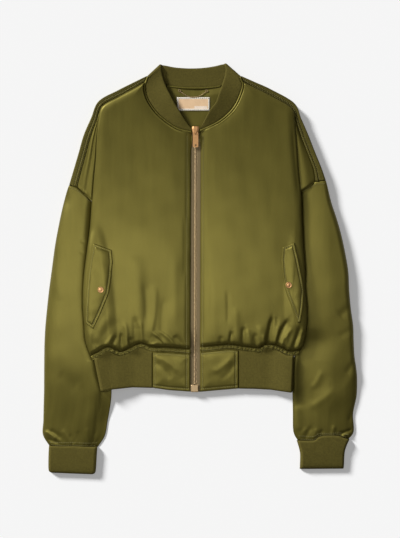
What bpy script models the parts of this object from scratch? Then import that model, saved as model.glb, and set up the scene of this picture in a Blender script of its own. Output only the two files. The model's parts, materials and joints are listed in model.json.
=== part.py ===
"""Padded satin bomber jacket, zipped up and laid flat on its back.

Tables and lengths are in millimetres and become metres when a mesh is made. +X runs to the
right of someone looking down at the jacket, +Y runs to the neck and +Z is up from the floor.
The body is two layers: the back panel on the floor, and the fronts on it. The sleeves lie
beside the body, and their inner edges pass under its sides, which the body rides over.
"""
import math

import bmesh
import bpy
import numpy as np
from mathutils import Vector
from mathutils.bvhtree import BVHTree

MM = 0.001
GAP = 0.3                # between two pieces that touch
SEAM = 0.4               # between two pieces that are sewn edge to edge

MID = 11.0               # height of the layer line between the back and the fronts
FRONT_RIM = 5.0          # thickness of a front at its seams
FRONT_FULL = 13.5        # thickness of a front where the wadding is full
FRONT_REACH = 45.0       # how far from a seam the front gets full
BACK_RIM = 3.2           # thickness of the back at the side seam
BACK_REACH = 60.0

SLEEVE_TOP = 26.0        # height of a sleeve's crown
SLEEVE_EDGE = 9.0        # height of a sleeve's outer edge
TUCK_EDGE = 5.0          # height of the sleeve's inner edge, which is under the body
TUCK_SLOPE = 0.20        # its rise from there towards the body's side edge
TUCK_CLEAR = 0.9         # clearance of the body over the tucked sleeve
LEAD_IN = 22.0           # length over which the body comes down again to the floor
SLIT = 2.4               # widest gap inside a flattened sleeve

RIB_PITCH = 3.0          # from one knit rib to the next
RIB_HEIGHT = 0.8
KNIT = 5.0               # thickness of the doubled rib knit
PIPING = 4.75            # width of the turned edge below the collar

STRIP_SHARES = (0.0, 0.35, 0.7, 1.0)     # columns across a shoulder strip
STRIP_LAYER = (8.0, 10.0, 10.8, MID)     # the back's upper face under them
STRIP_THICK = (2.6, 5.2, 5.6, 5.0)
STRIP_UNDER = (5.0, 1.6, 0.3, 0.0)       # the back's underside, rounded up at the shoulder
ARMPIT_UNDER = (8.2, 6.0, 3.0, 1.0)      # and lifted where the sleeve passes under the armpit
DROP_SHARES = (0.0, 0.5, 1.0)            # columns across the drop-shoulder part
TUCK_SHARES = (0.0, 0.35, 0.7, 1.0)      # columns over the tucked part of the sleeve
VISIBLE_SHARES = (0.34, 0.67, 1.0)       # columns of the two faces of a sleeve beside it
OPEN_TUCK = 20.0         # width of those columns where nothing is tucked
PANEL_COLUMNS = 8        # the rest of the columns of each half of the body
SEAM_PUFF_ROWS = 3       # rows that follow the waves of the hem seam
NAPE_CORNER = {"left": (-98.0, 356.8), "right": (75.4, 356.8)}   # the back's neck corners
NAPE_SAG = 3.5           # how far its neck seam sags below a straight line

SLEEVE_ROUND = 38.0      # how far from its outer edge a sleeve gets full
SLEEVE_RISE = 30.0       # and from the body's side
SLEEVE_INNER_ROUND = 34.0        # and from its free inner edge
SLEEVE_SIDES = (5.0, 8.0)        # the wall of a sleeve at its inner and its outer edge

COLLAR_HIGH = 14.0       # height of the middle of the collar's front parts
COLLAR_POINT_HIGH = 10.0         # and at its free edge near the neck point
COLLAR_LOW = KNIT / 2    # and of the part that crosses the back
COLLAR_TURN = 4.6        # depth of the folds at the neck points
HEM_FOLD_INSIDE = 0.6    # radius inside the hem band's fold at the side

FLAP_THICK = 3.0
SNAP_RADIUS = 4.7
SNAP_PROFILE = ((1.0, 0.0), (1.0, 0.9), (0.8, 1.7), (0.4, 2.0))  # radius share, height

ZIP_HALF = 4.3           # half the width of the closed teeth
TEETH_HIGH = 3.4
TAPE_THICK = 1.2
BOX_HIGH = 3.8
BOX_RADIUS = 1.5         # width of the box's rounded edges
SLIDER_TOP = 269.0
SLIDER_BOTTOM = 254.0
SLIDER_HALF = 6.6
SLIDER_HIGH = 5.6
BRIDGE_HALF = 1.2        # half the width of the bridge on the slider
BRIDGE_FEET = 2.5        # half its length
BRIDGE_WALL = 1.1
TAB_HALF = 5.2
TAB_LENGTH = 28.0
TAB_THICK = 1.5
TAB_HOLE = 2.0           # radius of the hole at its free end
TAB_TILT = 7.9           # degrees: the tab hangs down until it lies on the teeth
BAR_RADIUS = 0.6         # the bar of the tab, which turns under the bridge
CUTTER_REACH = 4.0       # how far a cutter passes beyond the piece that it cuts

BINDING_REACH = (-63.5, 39.5)    # X of the ends of the neck binding
BINDING_HALF = 1.9
BINDING_HIGH = 2.2
LABEL_THICK = 0.8
RING_RADIUS = 2.2
RING_WIRE = 0.55
CHAIN_WIRE = 0.8
CHAIN_SAG = 8.0          # how far the chain sags below its ends


def table(columns, *rows):
    """Rows of numbers under named columns, as one array for each column."""
    return {name: np.array(values, float) for name, values in zip(columns.split(), zip(*rows))}


# Rows of each half above the armhole, from the neck down. side is the outline at the shoulder,
# strip the inner edge of the shoulder strip, fold the line where the front folds over the
# armhole, inner the neck or zip edge of the front, and nape the middle of the back.
SHOULDER = {
    "left": table(
        "side_x side_y strip_x strip_y fold_x fold_y inner_x inner_y nape_x nape_y nape_z",
        (-100.7, 364.8, -103.5, 356.0, -104.6, 353.6, -106.2, 350.0, -16.4, 342.6, 5.0),
        (-127.0, 351.8, -126.0, 341.5, -122.0, 340.5, -106.5, 335.0, -16.4, 325.0, 8.6),
        (-154.5, 338.0, -151.5, 327.5, -144.0, 325.5, -98.0, 313.0, -16.4, 305.0, 9.0),
        (-191.5, 317.1, -183.0, 307.0, -173.0, 305.5, -78.0, 287.5, -16.4, 287.0, 10.2),
        (-206.0, 285.0, -194.5, 280.5, -186.0, 279.0, -46.0, 264.5, -16.4, 270.0, 11.0),
        (-219.8, 252.9, -207.5, 248.8, -199.6, 246.5, -16.4, 256.0, -16.4, 256.0, 11.0),
        (-229.5, 219.0, -216.5, 215.3, -202.0, 207.0, -16.5, 224.0, -16.5, 224.0, 11.0),
        (-239.5, 185.0, -226.0, 180.5, -203.5, 166.0, -16.6, 188.0, -16.6, 188.0, 11.0),
        (-247.2, 159.0, -232.9, 154.7, -204.6, 128.4, -16.7, 150.0, -16.7, 150.0, 11.0),
    ),
    "right": table(
        "side_x side_y strip_x strip_y fold_x fold_y inner_x inner_y nape_x nape_y nape_z",
        (77.9, 364.8, 80.8, 356.0, 82.0, 353.6, 83.8, 350.2, 1.2, 342.8, 5.0),
        (105.0, 352.8, 104.0, 342.8, 100.0, 341.5, 81.0, 335.0, 1.2, 325.0, 8.6),
        (133.0, 340.1, 130.0, 329.8, 122.0, 327.0, 71.0, 311.0, 1.2, 305.0, 9.0),
        (177.8, 313.9, 168.5, 305.0, 158.0, 303.5, 57.0, 292.6, 1.2, 287.0, 10.2),
        (191.5, 284.0, 179.5, 279.5, 171.5, 278.5, 34.2, 274.6, 1.2, 270.0, 11.0),
        (205.0, 252.9, 192.0, 248.5, 183.0, 246.0, 1.2, 259.0, 1.2, 259.0, 11.0),
        (217.5, 221.0, 204.0, 217.0, 185.0, 212.0, 1.1, 228.0, 1.1, 228.0, 11.0),
        (229.3, 192.0, 214.5, 188.5, 188.5, 180.0, 1.0, 196.0, 1.0, 196.0, 11.0),
        (237.7, 167.8, 218.1, 165.7, 194.2, 148.2, 0.9, 160.0, 0.9, 160.0, 11.0),
    ),
}

# Rows of each half below the armhole, down to the hem seam. tuck is how much of the sleeve
# lies under the body, outer the sleeve's outer edge and mid the height of the layer line.
FLANK = {
    "left": table(
        "side_x side_y inner_x inner_y tuck outer_x outer_y mid",
        (-206.0, 108.0, -16.8, 118.0, 6.0, -255.5, 137.0, 11.0),
        (-207.7, 84.0, -16.9, 88.0, 11.0, -262.0, 112.0, 11.0),
        (-211.0, 56.0, -17.0, 58.0, 18.0, -269.5, 76.0, 11.0),
        (-214.5, 26.0, -17.1, 27.0, 26.0, -275.6, 42.0, 11.0),
        (-218.7, -10.0, -17.2, -9.0, 35.0, -281.5, -2.0, 11.0),
        (-220.8, -44.0, -17.3, -43.0, 41.0, -286.8, -42.0, 11.0),
        (-220.6, -76.0, -17.4, -75.0, 44.0, -290.6, -77.0, 11.0),
        (-218.2, -106.0, -17.5, -105.0, 44.0, -293.6, -109.0, 11.0),
        (-215.6, -136.0, -17.6, -132.0, 42.5, -295.2, -139.0, 9.5),
        (-203.3, -170.8, -17.7, -160.0, 34.0, -295.8, -171.0, 5.4),
    ),
    "right": table(
        "side_x side_y inner_x inner_y tuck outer_x outer_y mid",
        (192.6, 124.0, 0.8, 126.0, 6.0, 249.5, 126.0, 11.0),
        (193.2, 96.0, 0.7, 96.0, 9.0, 258.5, 99.0, 11.0),
        (195.0, 66.0, 0.6, 66.0, 13.0, 267.5, 68.0, 11.0),
        (197.0, 34.0, 0.5, 34.0, 17.0, 275.0, 34.0, 11.0),
        (199.3, -2.0, 0.4, -2.0, 21.0, 281.5, -4.0, 11.0),
        (199.4, -38.0, 0.3, -38.0, 24.0, 283.5, -42.0, 11.0),
        (202.6, -72.0, 0.2, -72.0, 26.0, 286.5, -76.0, 11.0),
        (202.4, -104.0, 0.1, -103.0, 22.0, 290.8, -107.0, 11.0),
        (198.0, -134.0, 0.0, -130.0, 10.0, 291.8, -137.0, 9.5),
        (186.0, -162.1, -0.1, -156.0, 2.5, 293.3, -165.0, 5.4),
    ),
}

# Rows of the hem band below the seam row, and how much of the sleeve lies under them.
BAND = {
    "left": table("side_x side_y tuck", (-200.3, -172.4, 31.0), (-187.5, -232.4, 20.0)),
    "right": table("side_x side_y tuck", (178.4, -172.4, 0.0), (175.2, -234.1, 0.0)),
}

# Stations of each sleeve below the body's last row.
SLEEVE_END = {
    "left": table(
        "inner_x inner_y via_x via_y outer_x outer_y top",
        (-169.5, -202.0, -193.5, -202.0, -296.0, -204.0, 25.0),
        (-167.6, -231.5, -187.5, -231.5, -296.2, -233.3, 25.0),
        (-169.7, -257.0, -190.0, -257.0, -296.9, -262.0, 25.0),
        (-175.2, -287.9, -194.0, -287.9, -297.4, -288.0, 24.0),
        (-180.5, -316.0, -198.0, -316.0, -298.3, -314.1, 20.0),
        (-193.8, -337.1, -208.0, -337.0, -286.3, -334.8, 12.5),
    ),
    "right": table(
        "inner_x inner_y via_x via_y outer_x outer_y top",
        (186.8, -184.0, 203.0, -184.0, 296.5, -187.0, 24.0),
        (180.8, -206.0, 199.0, -206.0, 298.3, -207.0, 24.0),
        (176.6, -236.0, 196.0, -236.0, 297.4, -240.0, 24.0),
        (176.3, -272.0, 195.0, -272.0, 290.7, -274.7, 23.0),
        (177.3, -308.0, 195.0, -308.0, 291.8, -308.0, 20.0),
        (186.0, -325.5, 199.0, -325.4, 281.5, -323.0, 12.5),
    ),
}

# Stations of each cuff, from the sleeve seam to the end.
CUFF = {
    "left": table("inner_x inner_y outer_x outer_y high",
                  (-194.6, -337.6, -286.6, -335.4, 11.0), (-198.0, -383.8, -287.5, -380.5, 10.5),
                  (-202.4, -389.3, -283.1, -386.1, 7.0)),
    "right": table("inner_x inner_y outer_x outer_y high",
                   (187.0, -326.0, 280.5, -323.5, 11.0), (190.0, -352.0, 274.5, -350.0, 10.5),
                   (189.2, -379.1, 272.5, -378.5, 7.0)),
}

# The hem seam on each front, which waves where the satin is gathered into the rib.
HEM_SEAM = {
    "left": table("x y", (-203.3, -170.8), (-188.0, -163.0), (-172.9, -155.6), (-151.1, -166.4),
                  (-131.5, -157.7), (-111.7, -146.9), (-94.2, -155.6), (-61.6, -156.6),
                  (-17.7, -160.0)),
    "right": table("x y", (-0.1, -156.0), (53.0, -149.0), (73.7, -153.3), (111.9, -157.7),
                   (125.0, -150.1), (144.6, -153.3), (166.4, -164.4), (186.0, -162.1)),
}
HEM_BOTTOM = table("x y", (-187.5, -232.4), (-164.2, -227.6), (-127.1, -224.2), (-89.9, -225.3),
                   (-59.5, -229.7), (-20.1, -232.4), (-0.4, -232.9), (35.5, -229.7),
                   (73.7, -226.5), (103.2, -227.1), (133.8, -228.6), (175.2, -234.1))
TAB_END = {"left": -91.0, "right": 73.7}      # where each satin tab meets the rib

# Collar: the seam and the free edge of each front part, from the zip to the fold at the neck
# point, then the seam and the free edge of the part that crosses the back.
COLLAR_FREE = {
    "left": table("x y", (-18.8, 268.2), (-34.2, 290.7), (-49.4, 315.4), (-57.0, 330.6),
                  (-64.6, 345.8), (-70.3, 362.9), (-73.0, 376.0)),
    "right": table("x y", (2.6, 270.0), (18.6, 299.8), (29.3, 313.5), (36.0, 332.0),
                   (41.8, 348.3), (46.0, 362.0), (48.5, 376.5)),
}
COLLAR_POINT = {
    "left": table("x y", (-100.7, 364.4), (-76.0, 387.6)),
    "right": table("x y", (77.9, 364.4), (49.4, 389.5)),
}
COLLAR_BACK = table("seam_x free_x free_y", (-89.0, -66.0, 385.6), (-64.6, -48.0, 382.6),
                    (-38.0, -30.0, 381.0), (-12.4, -12.4, 380.6), (16.0, 8.0, 381.8),
                    (41.8, 26.0, 384.4), (66.0, 41.0, 387.4))

# Folds of the fronts and sleeves: a soft trough (below zero) or ridge along a line.
FOLDS = {
    "left": table(
        "x0 y0 x1 y1 width height",
        (-201.0, 262.0, -204.6, 122.0, 7.0, -5.0),
        (-172.0, -160.0, -160.0, -95.0, 7.0, -3.6),
        (-152.0, -160.0, -150.0, -118.0, 8.0, 2.2),
        (-126.0, -158.0, -116.0, -100.0, 7.0, -3.6),
        (-100.0, -155.0, -96.0, -112.0, 8.0, 2.0),
        (-66.0, -158.0, -62.0, -122.0, 8.0, -1.8),
    ),
    "right": table(
        "x0 y0 x1 y1 width height",
        (183.0, 262.0, 194.2, 140.0, 7.0, -5.0),
        (28.0, -156.0, 32.0, -116.0, 8.0, -1.8),
        (82.0, -156.0, 84.0, -112.0, 8.0, 1.8),
        (120.0, -156.0, 112.0, -96.0, 7.0, -3.4),
        (146.0, -158.0, 150.0, -104.0, 7.0, -3.8),
        (171.0, -164.0, 176.0, -110.0, 7.0, -3.4),
    ),
}

# Pocket flaps: the outer edge and the inner edge, from the top down.
FLAP = {
    "left": table("edge_x edge_y lip_x lip_y",
                  (-200.5, 48.5, -166.5, 36.0), (-205.8, 22.0, -164.2, 14.0),
                  (-210.5, -8.0, -166.5, -16.0), (-213.0, -40.0, -170.6, -44.3),
                  (-215.0, -72.0, -184.5, -79.0), (-215.8, -101.0, -200.0, -112.5)),
    "right": table("edge_x edge_y lip_x lip_y",
                   (177.3, 49.4, 155.4, 40.7), (184.5, 20.0, 153.2, 17.0),
                   (190.5, -10.0, 155.5, -12.0), (196.3, -40.0, 159.8, -37.8),
                   (193.0, -74.0, 172.6, -72.0), (188.6, -101.0, 183.4, -101.0)),
}
SNAP = {"left": (-186.0, -39.0), "right": (166.4, -30.2)}
ZIP_MIDDLE = table("y x", (-230.0, -9.5), (270.0, -8.4))
ZIP_BOX = table("x y", (-17.2, -219.0), (-2.8, -233.0))
LABEL = table("x y", (-43.5, 325.0), (18.6, 299.6))
RING = {"left": (-38.6, 337.6), "right": (12.7, 337.2)}
HINGE = (-8.4, 257.5, 19.8)      # a point on the axis that the pull tab turns about


def points(data, name):
    """The plan points that a table holds under name_x and name_y, as an array of rows."""
    return np.stack([data[name + "_x"], data[name + "_y"]], axis=1)


def lerp(a, b, share):
    """Points between a and b: one row for each row of a, one column for each share."""
    share = np.asarray(share, float)[None, :, None]
    return a[:, None, :] * (1 - share) + b[:, None, :] * share


def crown(distance, rim, full, reach):
    """A quarter ellipse that rises from rim at an edge to full at reach from it."""
    rise = 1 - np.clip(np.asarray(distance, float) / reach, 0, 1)
    return rim + (full - rim) * np.sqrt(1 - rise * rise)


def edge_distance(plan, outline):
    """Distance of each plan point from the nearest stretch of an open outline."""
    start, end = outline[:-1], outline[1:]
    run = end - start
    offset = plan[..., None, :] - start
    along = np.clip((offset * run).sum(-1) / np.maximum((run * run).sum(-1), 1e-9), 0, 1)
    nearest = offset - along[..., None] * run
    return np.sqrt((nearest * nearest).sum(-1)).min(-1)


def fold_height(plan, folds):
    """Sum of the troughs and ridges: a bell across each fold's line, fading at its ends."""
    height = np.zeros(plan.shape[:-1])
    for x0, y0, x1, y1, width, depth in zip(*folds.values()):
        away = edge_distance(plan, np.array([(x0, y0), (x1, y1)]))
        height += depth * np.exp(-(away / width) ** 2)
    return height


# ---------------------------------------------------------------- meshes and materials

MATERIALS = {
    "satin": ((0.128, 0.115, 0.026), 0.38, 0.0),
    "rib": ((0.112, 0.096, 0.028), 0.92, 0.0),
    "tape": ((0.150, 0.118, 0.048), 0.85, 0.0),
    "brass": ((0.56, 0.42, 0.22), 0.32, 1.0),
    "copper": ((0.62, 0.36, 0.20), 0.30, 1.0),
    "label": ((0.80, 0.56, 0.36), 0.70, 0.0),
}


def material(kind, node):
    """The node's own Principled material, in the colour and finish of its kind."""
    colour, roughness, metallic = MATERIALS[kind]
    made = bpy.data.materials.new(node)
    made.use_nodes = True
    shader = made.node_tree.nodes["Principled BSDF"]
    shader.inputs["Base Color"].default_value = (*colour, 1.0)
    shader.inputs["Roughness"].default_value = roughness
    shader.inputs["Metallic"].default_value = metallic
    made.diffuse_color = (*colour, 1.0)
    return made


def add_node(name, kind, vertices, faces):
    """One closed body from points in millimetres, with its faces turned outwards."""
    mesh = bpy.data.meshes.new(name)
    mesh.from_pydata([tuple(float(c) * MM for c in v) for v in vertices], [], faces)
    work = bmesh.new()
    work.from_mesh(mesh)
    bmesh.ops.triangulate(work, faces=work.faces[:])
    bmesh.ops.recalc_face_normals(work, faces=work.faces[:])
    work.to_mesh(mesh)
    work.free()
    mesh.shade_smooth()
    mesh.set_sharp_from_angle(angle=math.radians(40))
    made = bpy.data.objects.new(name, mesh)
    made.data.materials.append(material(kind, name))
    bpy.context.collection.objects.link(made)
    return made


def shell(name, kind, lower, upper, cells=None):
    """A closed wall between two grids of points. cells marks the squares that are there."""
    rows, columns = lower.shape[:2]
    if cells is None:
        cells = np.ones((rows - 1, columns - 1), bool)
    faces = []
    used = {}

    def corner(layer, row, column):
        return used.setdefault((layer, row, column), len(used))

    def wall(a, b):
        faces.append((corner(0, *a), corner(0, *b), corner(1, *b), corner(1, *a)))

    def there(row, column):
        return 0 <= row < rows - 1 and 0 <= column < columns - 1 and cells[row, column]

    for row in range(rows - 1):
        for column in range(columns - 1):
            if not there(row, column):
                continue
            loop = [(row, column), (row, column + 1), (row + 1, column + 1), (row + 1, column)]
            faces.append([corner(1, *p) for p in loop])
            faces.append([corner(0, *p) for p in reversed(loop)])
            if not there(row - 1, column):
                wall(loop[0], loop[1])
            if not there(row + 1, column):
                wall(loop[2], loop[3])
            if not there(row, column - 1):
                wall(loop[3], loop[0])
            if not there(row, column + 1):
                wall(loop[1], loop[2])
    grids = (lower, upper)
    return add_node(name, kind, [grids[g][r, c] for g, r, c in used], faces)


def tube(name, kind, outer, inner):
    """A wall between two lofted rings of points, open at both ends."""
    stations, count = outer.shape[:2]
    vertices = np.concatenate([outer.reshape(-1, 3), inner.reshape(-1, 3)])
    hollow = stations * count
    faces = []
    for k in range(count):
        nxt = (k + 1) % count
        for s in range(stations - 1):
            a, b, c, d = s * count + k, s * count + nxt, (s + 1) * count + nxt, (s + 1) * count + k
            faces.append((a, b, c, d))
            faces.append((hollow + d, hollow + c, hollow + b, hollow + a))
        last = (stations - 1) * count
        faces.append((k, hollow + k, hollow + nxt, nxt))
        faces.append((last + nxt, hollow + last + nxt, hollow + last + k, last + k))
    return add_node(name, kind, vertices, faces)


def drop_onto(carrier, plan, fallback=MID):
    """Height in millimetres of the carrier's upper face under each plan point."""
    tree = BVHTree.FromPolygons([v.co for v in carrier.data.vertices],
                                [p.vertices for p in carrier.data.polygons])
    flat = plan.reshape(-1, 2)
    heights = []
    for x, y in flat:
        hit = tree.ray_cast(Vector((x * MM, y * MM, 1.0)), Vector((0, 0, -1)))[0]
        heights.append(fallback if hit is None else hit.z / MM)
    return np.array(heights).reshape(plan.shape[:-1])


def rest_on(carrier, plan):
    """Height at which a grid of plan points lies on the carrier, clear of its corners."""
    height = drop_onto(carrier, plan)
    for share_a in (0.0, 0.25, 0.5, 0.75, 1.0):
        for share_b in (0.0, 0.25, 0.5, 0.75, 1.0):
            weights = ((1 - share_a) * (1 - share_b), share_a * (1 - share_b),
                       (1 - share_a) * share_b, share_a * share_b)
            corners = (np.s_[:-1, :-1], np.s_[1:, :-1], np.s_[:-1, 1:], np.s_[1:, 1:])
            spot = sum(w * plan[c] for w, c in zip(weights, corners))
            here = sum(w * height[c] for w, c in zip(weights, corners))
            short = np.maximum(drop_onto(carrier, spot) - here, 0)
            for corner in corners:
                height[corner] = np.maximum(height[corner], height[corner] + short)
    return height


def at_height(plan, height):
    """Plan points with their heights, as a grid of points in space."""
    return np.concatenate([plan, np.broadcast_to(height, plan.shape[:-1])[..., None]], axis=-1)


# ---------------------------------------------------------------- the body's plan


def tuck_columns(start, end, tuck, count):
    """Plan points of rows from a side edge inwards: the tucked part, the lead-in, the rest."""
    run = end - start
    length = np.sqrt((run * run).sum(-1))
    width = np.where(tuck > 0, tuck, np.minimum(OPEN_TUCK, length * 0.25))
    lead = np.minimum(LEAD_IN, (length - width) * 0.3)
    shares = [width * s for s in TUCK_SHARES] + [width + lead * 0.5, width + lead]
    rest = length - width - lead
    shares += [width + lead + rest * k / count for k in range(1, count + 1)]
    shares = np.stack(shares, axis=1) / length[:, None]
    return start[:, None, :] + run[:, None, :] * shares[..., None]


def tuck_lift(plan, side, tuck):
    """Height of the body's underside over the tucked sleeve, for rows of plan points."""
    inwards = np.sqrt(((plan - side[:, None, :]) ** 2).sum(-1))
    depth = tuck[:, None]
    on_sleeve = TUCK_EDGE + TUCK_CLEAR + TUCK_SLOPE * (depth - inwards)
    lead = (TUCK_EDGE + TUCK_CLEAR) * np.clip(1 - (inwards - depth) / LEAD_IN, 0, 1)
    return np.where(depth > 0, np.where(inwards <= depth + 1e-6, on_sleeve, lead), 0.0)


def follow_hem(plan, half):
    """Moves the last rows of a panel so that the last one lies on the hem seam."""
    seam = HEM_SEAM[half]
    for back in range(SEAM_PUFF_ROWS):
        row = plan[-1 - back]
        target = np.interp(plan[-1, :, 0], seam["x"], seam["y"])
        straight = np.linspace(plan[-1, 0, 1], plan[-1, -1, 1], len(row))
        if back == 0:
            row[:, 1] = target
        else:
            row[:, 1] += (target - straight) * (1 - back / SEAM_PUFF_ROWS)
    return plan


def half_plan(half, count, to_nape):
    """Plan points of one half of the body from the fold line inwards, and its table rows."""
    top, low = SHOULDER[half], FLANK[half]
    ends = points(top, "nape" if to_nape else "inner")
    start = np.concatenate([points(top, "fold"), points(low, "side")])
    end = np.concatenate([ends, points(low, "inner")])
    tuck = np.concatenate([np.zeros(len(ends)), low["tuck"]])
    if to_nape:
        start[0] = NAPE_CORNER[half]
    plan = tuck_columns(start, end, tuck, count)
    if to_nape:
        plan[0, :, 1] -= NAPE_SAG * np.sin(np.linspace(0, 1, plan.shape[1]) * math.pi)
    lift = tuck_lift(plan, start, tuck)
    return plan, lift, start, tuck


def layer_line(plan, lift, start, half, nape=None):
    """Height of the back's upper face: it thins out where it rides over the sleeve."""
    rows = len(SHOULDER[half]["side_x"])
    mid = np.concatenate([np.full(rows, MID), FLANK[half]["mid"]])
    inwards = np.sqrt(((plan - start[:, None, :]) ** 2).sum(-1))
    height = np.repeat(mid[:, None], plan.shape[1], axis=1)
    thin = crown(inwards, 0.0, 1.0, BACK_REACH)
    for row in range(rows, len(mid)):
        if FLANK[half]["tuck"][row - rows] > 0:
            full = BACK_RIM + (mid[row] - BACK_RIM) * thin[row]
            height[row] = np.maximum(lift[row] + full, mid[row])
    if nape is not None:
        share = np.linspace(0, 1, plan.shape[1])
        height[:rows] = MID + (nape[:, None] - MID) * share[None, :] ** 0.5
    return height


def front_outline(half):
    """The seams round one front: shoulder strip, armhole, side, hem, zip and neck."""
    top, low = SHOULDER[half], FLANK[half]
    seam = np.stack([HEM_SEAM[half]["x"], HEM_SEAM[half]["y"]], axis=1)
    if half == "right":
        seam = seam[::-1]
    inner = np.concatenate([points(top, "inner"), points(low, "inner")[:-1]])
    return np.concatenate([points(top, "strip"), points(top, "fold")[-1:], points(low, "side"),
                           seam, inner[::-1], points(top, "strip")[:1]])


def make_front(half):
    """One front with its drop-shoulder part, padded, creased where it folds over."""
    plan, lift, start, _ = half_plan(half, PANEL_COLUMNS, False)
    plan = follow_hem(plan, half)
    layer = layer_line(plan, lift, start, half)
    top = SHOULDER[half]
    drop = lerp(points(top, "strip"), points(top, "fold"), DROP_SHARES)[:, :-1]
    rows, spare = len(drop), drop.shape[1]
    filler = np.repeat(plan[rows:, :1], spare, axis=1)
    plan = np.concatenate([np.concatenate([drop, filler]), plan], axis=1)
    layer = np.concatenate([np.full((len(plan), spare), MID), layer], axis=1)
    thick = crown(edge_distance(plan, front_outline(half)), FRONT_RIM, FRONT_FULL, FRONT_REACH)
    thick = np.maximum(thick + fold_height(plan, FOLDS[half]), FRONT_RIM - 1.2)
    cells = np.ones((len(plan) - 1, plan.shape[1] - 1), bool)
    cells[rows - 1:, :spare] = False
    lower = at_height(plan, layer + GAP)
    upper = at_height(plan, layer + GAP + thick)
    return shell(f"front_{half}", "satin", lower, upper, cells)


def make_strip(half):
    """The strip along one shoulder, from the outline's edge to the front."""
    top = SHOULDER[half]
    plan = lerp(points(top, "side"), points(top, "strip"), STRIP_SHARES)
    away = np.sqrt(((points(top, "side") - points(top, "strip")) ** 2).sum(-1))
    seam = (points(top, "strip") - points(top, "side")) * (SEAM / away)[:, None]
    plan[:, -1] -= seam
    lower = at_height(plan, np.array(STRIP_LAYER) + GAP)
    upper = at_height(plan, np.array(STRIP_LAYER) + GAP + np.array(STRIP_THICK))
    return shell(f"shoulder_strip_{half}", "satin", lower, upper)


def make_back():
    """The back panel, flat on the floor between the sleeves, from side to side."""
    parts = []
    for half in ("left", "right"):
        plan, lift, start, tuck = half_plan(half, PANEL_COLUMNS, True)
        plan = follow_hem(plan, half)
        layer = layer_line(plan, lift, start, half, SHOULDER[half]["nape_z"])
        top = SHOULDER[half]
        rows = len(top["side_x"])
        strip = lerp(points(top, "side"), points(top, "strip"), STRIP_SHARES)
        drop = lerp(points(top, "strip"), start[:rows], DROP_SHARES)[:, 1:-1]
        extra = np.concatenate([strip, drop], axis=1)
        spare = extra.shape[1]
        filler = np.repeat(plan[rows:, :1], spare, axis=1)
        under = np.zeros_like(layer)
        under[rows:] = np.where(tuck[rows:, None] > 0, lift[rows:], 0)
        under[rows - 1, :4] = ARMPIT_UNDER
        under = np.concatenate([np.zeros((len(plan), spare)), under], axis=1)
        under[:rows, :len(STRIP_UNDER)] = STRIP_UNDER
        layer = np.concatenate([np.full((len(plan), spare), MID), layer], axis=1)
        layer[:rows, :len(STRIP_LAYER)] = STRIP_LAYER
        plan = np.concatenate([np.concatenate([extra, filler]), plan], axis=1)
        cells = np.ones((len(plan) - 1, plan.shape[1]), bool)
        cells[rows - 1:, :spare] = False
        parts.append((plan, under, layer, cells))
    left, right = parts
    plan = np.concatenate([left[0], right[0][:, ::-1]], axis=1)
    under = np.concatenate([left[1], right[1][:, ::-1]], axis=1)
    layer = np.concatenate([left[2], right[2][:, ::-1]], axis=1)
    cells = np.concatenate([left[3], right[3][:, ::-1][:, 1:]], axis=1)
    return shell("back", "satin", at_height(plan, under), at_height(plan, layer), cells)


# ---------------------------------------------------------------- sleeves and cuffs

def sleeve_stations(half):
    """Inner edge, body edge, bend and outer edge of each station of a sleeve, and its crown."""
    top, low, end = SHOULDER[half], FLANK[half], SLEEVE_END[half]
    side, inner_row = points(low, "side"), points(low, "inner")
    run = inner_row - side
    run /= np.sqrt((run * run).sum(-1))[:, None]
    inner = side + run * low["tuck"][:, None]
    via = side.copy()
    outer = points(low, "outer")
    loose = low["tuck"] <= 0
    step = 1.0 if half == "left" else -1.0
    inner[loose, 0] -= step * SEAM * 2
    via[loose, 0] -= step * OPEN_TUCK
    bend = via + (outer - via) * 0.5
    first_inner = points(top, "fold")[-1]
    first_bend = points(top, "strip")[-1]
    first_outer = points(top, "side")[-1]
    first_via = first_inner + (first_bend - first_inner) * 0.25
    down = np.array([-step * 0.55, -0.83]) * SEAM * 1.6
    first = [p + down for p in (first_inner, first_via, first_bend, first_outer)]
    end_bend = points(end, "via") + (points(end, "outer") - points(end, "via")) * 0.5
    stack = [np.concatenate([[first[0]], inner, points(end, "inner")]),
             np.concatenate([[first[1]], via, points(end, "via")]),
             np.concatenate([[first[2]], bend, end_bend]),
             np.concatenate([[first[3]], outer, points(end, "outer")])]
    tucked = np.concatenate([[True], low["tuck"] > 0, np.zeros(len(end["top"]), bool)])
    if half == "left":
        tucked[-len(end["top"]):][:2] = True
    crowns = np.concatenate([[20.0, 24.0], np.full(len(low["tuck"]) - 1, SLEEVE_TOP), end["top"]])
    return stack, tucked, crowns


def sleeve_height(place, width, tuck, tucked, top):
    """Height of the sleeve's upper face at a place measured from its inner edge."""
    outer = crown(width - place, min(SLEEVE_EDGE, top * 0.45), top, SLEEVE_ROUND)
    if tucked:
        rest = np.clip((place - tuck) / SLEEVE_RISE, 0, 1)
        rest = rest * rest * (3 - 2 * rest)
        ramp = TUCK_EDGE + TUCK_SLOPE * np.minimum(place, tuck)
        inner = ramp + (top - ramp) * rest
    else:
        inner = crown(place, 3.0, top, SLEEVE_INNER_ROUND)
    return np.minimum(outer, inner)


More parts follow.
